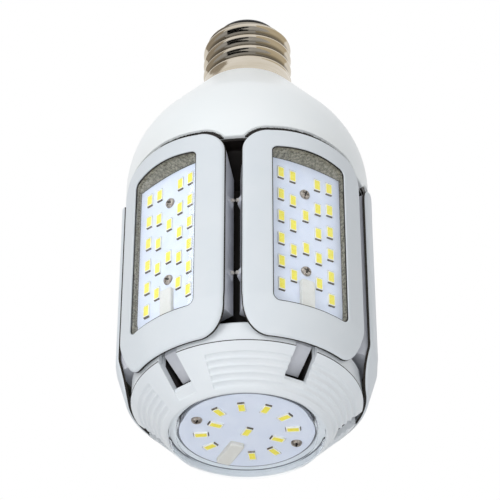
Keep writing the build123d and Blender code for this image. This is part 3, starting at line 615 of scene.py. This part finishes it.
def bezier(p0, p1, p2, p3, count):
    # cubic curve: (1-t)^3 p0 + 3 (1-t)^2 t p1 + 3 (1-t) t^2 p2 + t^3 p3
    t = np.linspace(0, 1, count, endpoint=False)[:, None]
    p0, p1, p2, p3 = (np.array(p, float) for p in (p0, p1, p2, p3))
    return (1 - t) ** 3 * p0 + 3 * (1 - t) ** 2 * t * p1 + 3 * (1 - t) * t ** 2 * p2 + t ** 3 * p3


def outerLoop():
    # outline of the frame (across, height), clockwise from the top left
    half = frameHalfWidth()
    top, bottom, corner = lamp["frameTop"], lamp["frameBottom"], wing["topCorner"]
    shoulder = half - corner
    sideTop = top - wing["arch"] - corner
    footX, footY = half - wing["footWidth"], bottom + wing["footHeight"]
    pullX, pullY = footX + 0.55 * (half - footX), footY - 0.55 * (footY - bottom)
    bow = corner * (1 - cos(pi / 4))
    n = wing["counts"]
    bowY = sideTop + corner - bow
    return np.concatenate([
        arcThrough((-shoulder, sideTop + corner), (0, top), (shoulder, sideTop + corner), n[0]),
        arcThrough((shoulder, sideTop + corner), (half - bow, bowY), (half, sideTop), n[1]),
        straight((half, sideTop), (half, footY), n[2]),
        bezier((half, footY), (half, pullY), (pullX, bottom), (footX, bottom), n[3]),
        straight((footX, bottom), (-footX, bottom), n[4]),
        bezier((-footX, bottom), (-pullX, bottom), (-half, pullY), (-half, footY), n[5]),
        straight((-half, footY), (-half, sideTop), n[6]),
        arcThrough((-half, sideTop), (-half + bow, bowY), (-shoulder, sideTop + corner), n[7]),
    ])


def windowLoop():
    # outline of the window with as many points on each stretch as the outer loop has
    half = frameHalfWidth() - wing["windowSideMargin"]
    top, bottom, corner = lamp["windowTop"], lamp["windowBottom"], wing["windowCorner"]
    bow = corner * (1 - cos(pi / 4))
    n = wing["counts"]
    inner = half - corner
    edge = top - wing["windowArch"] * (inner / half) ** 2
    return np.concatenate([
        arcThrough((-inner, edge), (0, top), (inner, edge), n[0]),
        arcThrough((inner, edge), (half - bow, edge - bow), (half, edge - corner), n[1]),
        straight((half, edge - corner), (half, bottom + corner), n[2]),
        arcThrough((half, bottom + corner), (half - bow, bottom + bow), (inner, bottom), n[3]),
        straight((inner, bottom), (-inner, bottom), n[4]),
        arcThrough((-inner, bottom), (-half + bow, bottom + bow), (-half, bottom + corner), n[5]),
        straight((-half, bottom + corner), (-half, edge - corner), n[6]),
        arcThrough((-half, edge - corner), (-half + bow, edge - bow), (-inner, edge), n[7]),
    ])


def outward(loop):
    # unit normals of a clockwise loop, pointing out of it
    along = np.roll(loop, -1, 0) - np.roll(loop, 1, 0)
    along = along / np.linalg.norm(along, axis=1, keepdims=True)
    return np.stack([-along[:, 1], along[:, 0]], -1)


def skinRadius(height, depth):
    # radius of the frame skin: a cylinder, and below the crease a cone, joined by a soft bend
    drop = lamp["frameBottom"] + wing["lipHeight"] - height
    soft = wing["creaseSoft"]
    below = np.where(drop > soft, drop, np.where(drop < -soft, 0.0, (drop + soft) ** 2 / (4 * soft)))
    return lamp["bodyRadius"] - depth - below * tan(radians(wing["lipSlope"]))


def onSkin(loop, depth):
    # a loop (across, height) laid on the skin at a depth, for a wing that faces +X
    radius = skinRadius(loop[:, 1], depth)
    return np.stack([np.sqrt(radius ** 2 - loop[:, 0] ** 2), loop[:, 0], loop[:, 1]], -1)


def onPlane(loop, distance):
    # a loop laid on the flat plane of the light board
    return np.stack([np.full(len(loop), float(distance)), loop[:, 0], loop[:, 1]], -1)


outerOutline, windowOutline = outerLoop(), windowLoop()
outerNormal, windowNormal = outward(outerOutline), outward(windowOutline)


def frameRows():
    # rows of the bezel: up the outer edge, round it, over the face and round the window's edge, which
    # ends in a thin lip, then back along the underside
    edge, lip, skin = wing["edgeRound"], wing["windowRound"], wing["skin"]
    rows = [onSkin(outerOutline - outerNormal * inset, skin) for inset in (wing["backInset"], 0.12)]
    for turn in np.linspace(0, pi / 2, 6):
        rows.append(onSkin(outerOutline - outerNormal * edge * (1 - cos(turn)), edge * (1 - sin(turn))))
    outerTop = outerOutline - outerNormal * edge
    innerTop = windowOutline + windowNormal * lip
    for share in np.linspace(0, 1, 12)[1:]:
        rows.append(onSkin(outerTop + share * (innerTop - outerTop), 0))
    for turn in np.linspace(0, pi / 2, 4)[1:]:
        rows.append(onSkin(windowOutline + windowNormal * lip * (1 - sin(turn)), lip * (1 - cos(turn))))
    rows.append(onSkin(windowOutline, wing["windowLip"]))
    rows.append(onSkin(windowOutline + windowNormal * wing["landWidth"], wing["windowLip"]))
    innerFoot = windowOutline + windowNormal * (wing["landWidth"] + 0.1)
    outerFoot = outerOutline - outerNormal * wing["backInset"]
    for share in (0.0, 0.33, 0.66):
        rows.append(onSkin(innerFoot + share * (outerFoot - innerFoot), skin))
    return np.stack(rows)


def wallRows():
    # the clear cover's side wall, from under the bezel's lip down to the dark band on the board; it leans
    # in towards its foot, most of all along the top
    foot = lamp["boardFace"] + wing["shadeBand"]
    start = onSkin(windowOutline + windowNormal * 0.05, wing["windowLip"] + wing["shadeSealWidth"])
    lowered = windowOutline - windowNormal * wing["footInset"]
    nearTop = np.clip((lowered[:, 1] - lamp["windowTop"] + 2 * wing["topDrop"]) / wing["topDrop"], 0, 1)
    lowered = lowered - np.stack([0 * nearTop, nearTop * wing["topDrop"]], -1)
    end = onPlane(lowered, foot)
    rows = [start + share * (end - start) for share in np.linspace(0, 1, 7)]
    rows.append(onPlane(windowOutline + windowNormal * wing["wall"], foot))
    rows.append(onSkin(windowOutline + windowNormal * wing["wall"], wing["windowLip"] + wing["shadeSealWidth"]))
    return np.stack(rows)


def shadeBandRows(wallFoot):
    # a thin dark square band round the wall's foot on the board: painted shade of the gap under the wall
    far = onPlane(windowOutline + windowNormal * wing["wall"], lamp["boardFace"])
    level = lamp["boardFace"]
    inner = wallFoot * (0, 1, 1) + (level, 0, 0)
    lift = wing["lift"]
    return np.stack([inner + (wing["shadeBand"], 0, 0), inner + (lift, 0, 0), far + (lift, 0, 0),
                     far + (wing["shadeBand"], 0, 0)])


def shadeSealRows():
    # a thin dark bead between the bezel's lip and the cover's wall: painted shade of the gap there
    near = windowOutline - windowNormal * wing["shadeSealShow"]
    far = windowOutline + windowNormal * wing["wall"]
    top = wing["windowLip"] + wing["lift"]
    foot = top + wing["shadeSealWidth"]
    return np.stack([onSkin(near, top), onSkin(near, foot), onSkin(far, foot), onSkin(far, top)])


def lensRows(depth, inset):
    # the clear cover as rings that shrink from the window's edge to a line along its middle
    shares = np.linspace(0, 1, 14)
    loop = windowOutline - windowNormal * inset
    middle = lamp["windowMiddle"]
    spine = np.stack([0 * loop[:, 0], middle + (loop[:, 1] - middle) * 0.6], -1)
    return np.stack([onSkin(loop + share * (spine - loop), depth) for share in shares])


def makeLens(body, angle):
    # outer and inner faces of the cover, joined along the edge
    front = turnedAbout(lensRows(wing["lensDepth"], wing["lensFit"]), angle)
    back = turnedAbout(lensRows(wing["lensDepth"] + wing["lensThick"], wing["lensFit"]), angle)
    edge = np.stack([front[0], back[0]])
    parts = [surface(front, wrapCols=True), surface(back, wrapCols=True), surface(edge, wrapCols=True)]
    makePiece(body + "Window", parts, [windowClear], body, [body + "_lens"], sharp=30)


wingRows = [frameRows(), wallRows(), shadeBandRows(wallRows()[6]), shadeSealRows()]
for body, angle in wingAngles.items():
    bezel, wall, shadeBand, shadeSeal = (
        surface(turnedAbout(rows, angle), wrapRows=True, wrapCols=True) for rows in wingRows)
    # painted shade: the bezel's back edge takes the near-black colour
    bezel[2][:2 * len(outerOutline)] = 1  # the first two bands are the dark back edge
    makePiece(body + "Bezel", [bezel], [bezelAbs, shadeNearBlack], body, [body + "_frame"], sharp=40)
    # the cover's wall is drawn opaque grey-brown: painted shade
    makePiece(body + "CoverWall", [wall], [coverWallShade], body)
    # dark bands at the wall's foot and beside the window's edge: painted shade
    makePiece(body + "Gasket", [shadeBand, shadeSeal], [shadeNearBlack], body)
    makeLens(body, angle)
print("stage: wing bezels and windows made")


# Light packages

package = {
    "length": 5.6, "width": 3.0, "height": 0.7, "corner": 0.3, "phosphorLength": 4.6,
    "phosphorWidth": 2.4, "sunk": 0.06, "solder": 0.4, "solderRise": 0.66,
}


def loopOf(halfWidth, halfLength, corner, level, count=3):
    # a rectangle with round corners at one level, as (across, along, level)
    t = np.linspace(0, pi / 2, count)
    pieces = []
    for k, (sx, sy) in enumerate(((1, 1), (-1, 1), (-1, -1), (1, -1))):
        a = t + k * pi / 2
        x = sx * (halfWidth - corner) + corner * np.cos(a)
        y = sy * (halfLength - corner) + corner * np.sin(a)
        pieces.append(np.stack([x, y, 0 * a + level], -1))
    return np.concatenate(pieces)


def placed(grid, centre, normal, along):
    # (across, along, level) to the lamp: the centre plus each part times its direction
    normal, along = np.array(normal, float), np.array(along, float)
    side = np.cross(along, normal)
    return np.array(centre) + grid[..., :1] * side + grid[..., 1:2] * along + grid[..., 2:] * normal


def packageParts(centre, normal, along):
    # one light package: rounded body with a sunk phosphor window and a solder fillet at each end that also
    # paints the end walls' shade
    halfWidth, halfLength, tall = package["width"] / 2, package["length"] / 2, package["height"]
    glowWidth, glowLength = package["phosphorWidth"] / 2, package["phosphorLength"] / 2
    sunk = tall - package["sunk"]
    bodyLoops = [
        loopOf(halfWidth, halfLength, package["corner"], 0.0),
        loopOf(halfWidth, halfLength, package["corner"], tall - 0.1),
        loopOf(halfWidth - 0.1, halfLength - 0.1, package["corner"], tall),
        loopOf(glowWidth + 0.06, glowLength + 0.06, 0.3, tall),
        loopOf(glowWidth, glowLength, 0.3, sunk),
    ]
    glowLoops = [loopOf(glowWidth, glowLength, 0.3, sunk), loopOf(0.3, glowLength / 2, 0.1, sunk + 0.04),
                 loopOf(0.02, 0.02, 0.01, sunk + 0.04)]
    parts = [surface(placed(np.stack(bodyLoops), centre, normal, along), wrapCols=True),
             surface(placed(np.stack(glowLoops), centre, normal, along), wrapCols=True, slot=1)]
    x = np.array([-0.95, 0.95]) * halfWidth
    for end in (1, -1):
        steps = ((0.02, package["solderRise"]), (0.3 * package["solder"], 0.6 * package["solderRise"]),
                 (package["solder"], 0.03))
        rows = [np.stack([x, np.full(2, end * (halfLength + reach)), np.full(2, rise)], -1)
                for reach, rise in steps]
        parts.append(surface(placed(np.stack(rows), centre, normal, along), slot=2))
    return parts


layout = {
    "outerColumn": 11.32, "outerRows": 6, "outerPitch": 11.16, "innerColumn": 5.8, "innerRows": 5,
    "innerPitch": 12.44, "innerShift": 2.9, "centreRows": 2, "centrePitch": 16.4, "centreShift": 1.6,
    "screwSpacing": 38.7, "screwShift": 1.5,
}


def wingPlaces():
    # centres (across, height) of the packages, 6-5-2-5-6 as the solids have them
    middle = lamp["windowMiddle"]
    columns = [
        (-layout["outerColumn"], "outer", 0.0), (-layout["innerColumn"], "inner", layout["innerShift"]),
        (0.0, "centre", layout["centreShift"]),
        (layout["innerColumn"], "inner", layout["innerShift"]), (layout["outerColumn"], "outer", 0.0),
    ]
    places = []
    for across, kind, shift in columns:
        rows, pitch = layout[kind + "Rows"], layout[kind + "Pitch"]
        places += [(across, middle + shift + (row - (rows - 1) / 2) * pitch) for row in range(rows)]
    return places


# Pan head screws
screwHead = {
    "radius": 2.25, "height": 1.3, "crossWidth": 0.66, "crossLength": 2.9, "crossDepth": 0.6, "edge": 0.16,
}


def screwParts(centre, normal, along, turn):
    # a head over (radius, angle): height * sqrt(1 - (r / radius)^4), less a cross recess whose depth
    # fades out over the edge; turn is how far the cross is turned
    share = np.sin(np.linspace(0, pi / 2, 26))[::-1, None]
    angle = np.linspace(0, 2 * pi, 72, endpoint=False)[None, :]
    x, y = screwHead["radius"] * share * np.cos(angle), screwHead["radius"] * share * np.sin(angle)
    u, v = np.abs(x * cos(turn) + y * sin(turn)), np.abs(y * cos(turn) - x * sin(turn))
    halfWidth, halfLength = screwHead["crossWidth"] / 2, screwHead["crossLength"] / 2
    away = np.minimum(np.maximum(u - halfWidth, v - halfLength), np.maximum(v - halfWidth, u - halfLength))
    sunk = np.clip(0.5 - away / screwHead["edge"], 0, 1)
    level = screwHead["height"] * np.sqrt(1 - share ** 4) - screwHead["crossDepth"] * sunk
    grid = np.stack([x, y, np.maximum(level, 0)], -1)
    faceSunk = (sunk[:-1] + sunk[1:]) / 2
    faceSunk = (faceSunk + np.roll(faceSunk, -1, 1)) / 2
    foot = np.stack([grid[0], grid[0] * 0])
    # faces deep in the cross recess take the dark colour: painted shade
    dark = (faceSunk > 0.5).astype(int).ravel()
    return [surface(placed(grid, centre, normal, along), wrapCols=True, slot=dark),
            surface(placed(foot, centre, normal, along), wrapCols=True)]


def dressWings():
    # light packages and board screws of the five wings
    middle = lamp["windowMiddle"] + layout["screwShift"]
    for number, (body, angle) in enumerate(wingAngles.items()):
        normal = (cos(angle), sin(angle), 0)
        parts = []
        for across, height in wingPlaces():
            centre = turnedAbout(np.array([lamp["boardFace"], across, height]), angle)
            parts += packageParts(centre, normal, (0, 0, 1))
        makePiece(body + "Packages", parts, [packageWhite, phosphorYellow, solderAndEndShade], body,
                  [body + "_leds"], sharp=30)
        heads = []
        for end in (1, -1):
            centre = np.array([lamp["boardFace"], 0, middle + end * layout["screwSpacing"] / 2])
            heads += screwParts(turnedAbout(centre, angle), normal, (0, 0, 1), 0.5 + 1.9 * number + 0.8 * end)
        makePiece(body + "ScrewHeads", heads, [screwZinc, recessShade], body, [body + "_board_screws"],
                  sharp=50)


bottomLights = {"outerRing": 18.5, "innerRing": 13.5, "screwRing": 21.7, "places": 12, "turn": 23.5}


def dressBottomBoard():
    # a ring of packages, with a screw beyond the inner one on both sides, and no package at place 3, where
    # the wire cover is
    level = low("bottom_board")[2]
    parts, heads = [], []
    for place in range(bottomLights["places"] + 1):
        angle = radians(bottomLights["turn"] + place * 360 / bottomLights["places"])
        across = place % 6 == 0
        ring = bottomLights["innerRing"] if across else bottomLights["outerRing"]
        if place == 3:
            continue
        if place == bottomLights["places"]:
            angle, ring = angle + pi / 2, 0.0
        outward = np.array([cos(angle), sin(angle), 0])
        parts += packageParts(outward * ring + (0, 0, level), (0, 0, -1), outward)
        if across and place < bottomLights["places"]:
            centre = outward * bottomLights["screwRing"] + (0, 0, level)
            heads += screwParts(centre, (0, 0, -1), outward, 0.4 + place)
    makePiece("bottomPackages", parts, [packageWhite, phosphorYellow, solderAndEndShade], "lamp_body",
              ["bottom_leds"], sharp=30)
    makePiece("bottomScrewHeads", heads, [screwZinc, recessShade], "lamp_body",
              ["bottom_board_screws"], sharp=50)


dressWings()
dressBottomBoard()
print("stage: light packages and screws made")


# Bottom cap

cap = {"radius": 31.2, "height": 5.65, "rim": 3.0, "face": 1.6, "edge": 1.1}
capProfile = roundedPath([
    (0, 0), (cap["radius"], 0), (cap["radius"], cap["height"]),
    (cap["radius"] - cap["rim"], cap["height"]), (cap["radius"] - cap["rim"], cap["face"]), (0, cap["face"]),
], [0, cap["edge"], 0.2, 0.2, 0.4, 0], 8)
makePiece("bottomCapClear", [revolved(capProfile, 192)], [capClear], "lamp_body", ["bottom_lens"], sharp=40)

# Under the cap's rim a pale seat, and thin grey bands in the gap to the cone and round the board, as
# painted shade of those gaps: square bands (inner and outer radius, lower and upper height, material)
capShadeGrey = newMaterial("greyPaintedShade", "#85888f", 0.6, ior=1.41)
addPattern(capShadeGrey, 3, ("#7d8087", "#8e9198"), 0.25, bump=0.05, bumpMm=0.5)
bands = {
    "capSeat": (28.3, 31.0, 5.0, 5.6, coneAbs),
    "capOuterShadeLine": (31.24, 31.48, 4.8, 5.5, capShadeGrey),
    "capInnerShadeLine": (27.4, 27.75, 4.5, 5.0, capShadeGrey),
}
for name, (inner, outer, lower, upper, material) in bands.items():
    band = np.array([(inner, lower), (outer, lower), (outer, upper), (inner, upper), (inner, lower)])
    makePiece(name, [revolved(band, 144)], [material], "lamp_body", sharp=40)

# Painted shade: dark linings inside the hinge slots, and a dark bead in the joint between the ring and the
# cone
slotShade = {
    "half": 4.72, "outline": ((29.0, 8.95), (35.2, 8.95), (42.4, 16.4), (42.4, 22.0), (29.0, 22.0)),
}
joint = {"radius": 46.87, "depth": 0.5, "low": 16.64, "high": 16.96, "slotHalf": 4.85}


def shadeSlots():
    # per slot: two flat sides, the floor and the back, as one strip carried round a U; all dark, painted
    # shade
    outline = np.array(slotShade["outline"])
    half = slotShade["half"]
    parts = []
    for angle in wingAngles.values():
        for side in (-half, half):
            middle = outline.mean(0)
            ring = np.concatenate([outline, outline[:1]])
            rows = np.stack([ring, middle + (ring - middle) * 0.02])
            flat = np.stack([rows[..., 0], 0 * rows[..., 0] + side, rows[..., 1]], -1)
            parts.append(surface(turnedAbout(flat, angle)))
        run = outline[[1, 0, 4]]
        strip = np.stack([np.stack([run[:, 0], 0 * run[:, 0] + side, run[:, 1]], -1)
                          for side in (-half, half)])
        parts.append(surface(turnedAbout(strip, angle)))
    makePiece("slotPaintedShade", parts, [darkCoreAndShade], "lamp_body", sharp=30)


def jointShadeBeads():
    # a dark square bead between each two slots, carried along an arc: painted shade of the parting line
    parts = []
    angles = sorted(wingAngles.values())
    margin = np.arcsin(joint["slotHalf"] / joint["radius"])
    section = np.array([(joint["radius"], joint["low"]), (joint["radius"], joint["high"]),
                        (joint["radius"] - joint["depth"], joint["high"]),
                        (joint["radius"] - joint["depth"], joint["low"])])
    for start, end in zip(angles, angles[1:] + [angles[0] + 2 * pi]):
        sweep = np.linspace(start + margin, end - margin, 48)[:, None]
        rows = np.stack([section[:, 0] * np.cos(sweep), section[:, 0] * np.sin(sweep),
                         section[:, 1] + 0 * sweep], -1)
        parts.append(surface(rows, wrapCols=True))
    makePiece("jointShadeBeads", parts, [shadeNearBlack], "lamp_body", sharp=30)


shadeSlots()
jointShadeBeads()

# Carried-over solids with softened edges

softCopy("lower_housing", coneAbs, "lamp_body", bevel=0.3)
softCopy("shoulder_ring", coneAbs, "lamp_body", bevel=0.25)
softCopy("core_column", darkCoreAndShade, "lamp_body", bevel=0.3)
for body in wingBodies:
    softCopy(body + "_tray", trayPowder, body, bevel=0.35)

finishes = {
    "bottom_board": boardMask, "bottom_wire_pad": padNylon,
    "bottom_heat_plate": plateMilled, "hinge_pins": screwZinc, "housing_screws": screwZinc,
    "driver_board": driverFibre, "driver_transformer": ferriteWound, "driver_capacitors": capacitorSleeve,
    "driver_choke": ferriteWound, "base_leads": leadSleeve,
}
for body in wingBodies:
    finishes[body + "_board"] = boardMask
    finishes[body + "_wire_pad"] = padNylon
    finishes[body + "_catch_tips"] = tipNickel
for node, material in finishes.items():
    solid = nodes[node]
    solid.data.materials.clear()
    solid.data.materials.append(material)
print("stage: solids finished")


# Camera, lights, floor and backdrop

view = {"place": (1.2, -727.1, -442.0), "tilt": 126.407, "lens": 153.3}
camera = bpy.data.objects.new("camera", bpy.data.cameras.new("camera"))
camera.data.lens = view["lens"]
camera.data.sensor_width = 36
camera.data.clip_end = 20
camera.location = np.array(view["place"]) * mm
camera.rotation_euler = (radians(view["tilt"]), 0, 0)
bpy.context.scene.collection.objects.link(camera)
bpy.context.scene.camera = camera


def aimed(obj, target):
    # turns an object so that its -Z looks at a point
    obj.rotation_euler = (Vector(target) - obj.location).to_track_quat("-Z", "Y").to_euler()


def softBox(name, place, size, power):
    # a white rectangular lamp that faces the middle of the object
    light = bpy.data.lights.new(name, "AREA")
    light.shape = "RECTANGLE"
    light.size, light.size_y = size
    light.energy = power
    obj = bpy.data.objects.new(name, light)
    obj.location = place
    bpy.context.scene.collection.objects.link(obj)
    obj.visible_glossy = False  # the cards and the white backdrop make the reflections
    aimed(obj, (0, 0, 0.1))


softBox("keyLight", (-0.7, -0.9, 0.5), (0.6, 0.8), 6)
softBox("fillLight", (0.9, -0.7, -0.1), (0.8, 1.0), 2.4)
softBox("underLight", (-0.25, -0.5, -0.72), (0.9, 0.6), 5.0)
softBox("topLight", (0.1, 0.2, 1.1), (0.9, 0.9), 2.3)

# Cards that only gloss and metal see, as round a photographer's table: a black one low in front to
# the left, and a grey and a beige one at the sides (place, size, colour)
cards = {
    "frontBlack": ((-0.33, -0.88, -0.38), (0.98, 0.28), "#040404"),
    "leftGrey": ((-1.2, -0.1, 0.45), (1.5, 1.6), "#a79f93"),
    "rightBeige": ((1.15, -0.5, 0.3), (2.4, 1.7), "#cfc5b0"),
}


def makeCard(name, place, size, colour):
    # a plain glowing rectangle that faces the screw base
    material = bpy.data.materials.new(name + "Paper")
    material.use_nodes = True
    material.node_tree.nodes.clear()
    glow = addNode(material, "ShaderNodeEmission", {"Color": linear(colour), "Strength": 1.0})
    addNode(material, "ShaderNodeOutputMaterial", links={"Surface": (glow, "Emission")})
    width, height = size
    mesh = bpy.data.meshes.new(name)
    corners = [(-width / 2, -height / 2, 0), (width / 2, -height / 2, 0),
               (width / 2, height / 2, 0), (-width / 2, height / 2, 0)]
    mesh.from_pydata(corners, [], [(0, 1, 2, 3)])
    mesh.materials.append(material)
    card = bpy.data.objects.new(name, mesh)
    card.location = place
    bpy.context.scene.collection.objects.link(card)
    aimed(card, (0, 0, 0.19))
    for ray in ("camera", "diffuse", "transmission", "shadow"):
        setattr(card, "visible_" + ray, False)


for name, settings in cards.items():
    makeCard(name, *settings)

# The lamp is lit by a weak pale sky, while the eye, gloss and clear plastic see plain white
world = bpy.data.worlds.new("studio")
bpy.context.scene.world = world
world.use_nodes = True
world.node_tree.nodes.clear()
rays = addNode(world, "ShaderNodeLightPath")
seen = addNode(world, "ShaderNodeMath", {"operation": "MAXIMUM"}, {
    0: (rays, "Is Camera Ray"), 1: (rays, "Is Glossy Ray")})
seenToo = addNode(world, "ShaderNodeMath", {"operation": "MAXIMUM"}, {
    0: (seen, "Value"), 1: (rays, "Is Transmission Ray")})
plain = addNode(world, "ShaderNodeBackground", {"Color": linear("#f4f6fa"), "Strength": 0.45})
white = addNode(world, "ShaderNodeBackground", {"Color": (1, 1, 1, 1), "Strength": 1.0})
mixed = addNode(world, "ShaderNodeMixShader", links={
    "Fac": (seenToo, "Value"), 1: (plain, "Background"), 2: (white, "Background")})
addNode(world, "ShaderNodeOutputWorld", links={"Surface": (mixed, "Shader")})

# The floor lies below the camera, which looks up at the lamp
floorMaterial = newMaterial("paleFloorPaint", "#f2f2f2", 0.7)
addPattern(floorMaterial, 60, ("#f0f0f0", "#f4f4f4"), 0.3)
side, level = 4.0, -0.75
floorMesh = bpy.data.meshes.new("floor")
corners = [(-side, -side, level), (side, -side, level), (side, side, level), (-side, side, level)]
floorMesh.from_pydata(corners, [], [(0, 1, 2, 3)])
floorMesh.materials.append(floorMaterial)
floor = bpy.data.objects.new("floor", floorMesh)
bpy.context.scene.collection.objects.link(floor)
# the eye sees the paint a little brighter than the lamps leave it, with the object's shadow kept
paint = (shaderOf(floorMaterial), "BSDF")
rays = addNode(floorMaterial, "ShaderNodeLightPath")
glow = addNode(floorMaterial, "ShaderNodeEmission", {"Color": (1, 1, 1, 1), "Strength": 0.5})
added = addNode(floorMaterial, "ShaderNodeAddShader", links={0: paint, 1: (glow, "Emission")})
seenFloor = addNode(floorMaterial, "ShaderNodeMixShader", links={
    "Fac": (rays, "Is Camera Ray"), 1: paint, 2: (added, "Shader")})
toOutput(floorMaterial, seenFloor, "Shader")

bpy.context.scene.view_settings.view_transform = "Standard"

print("stage: scene complete")
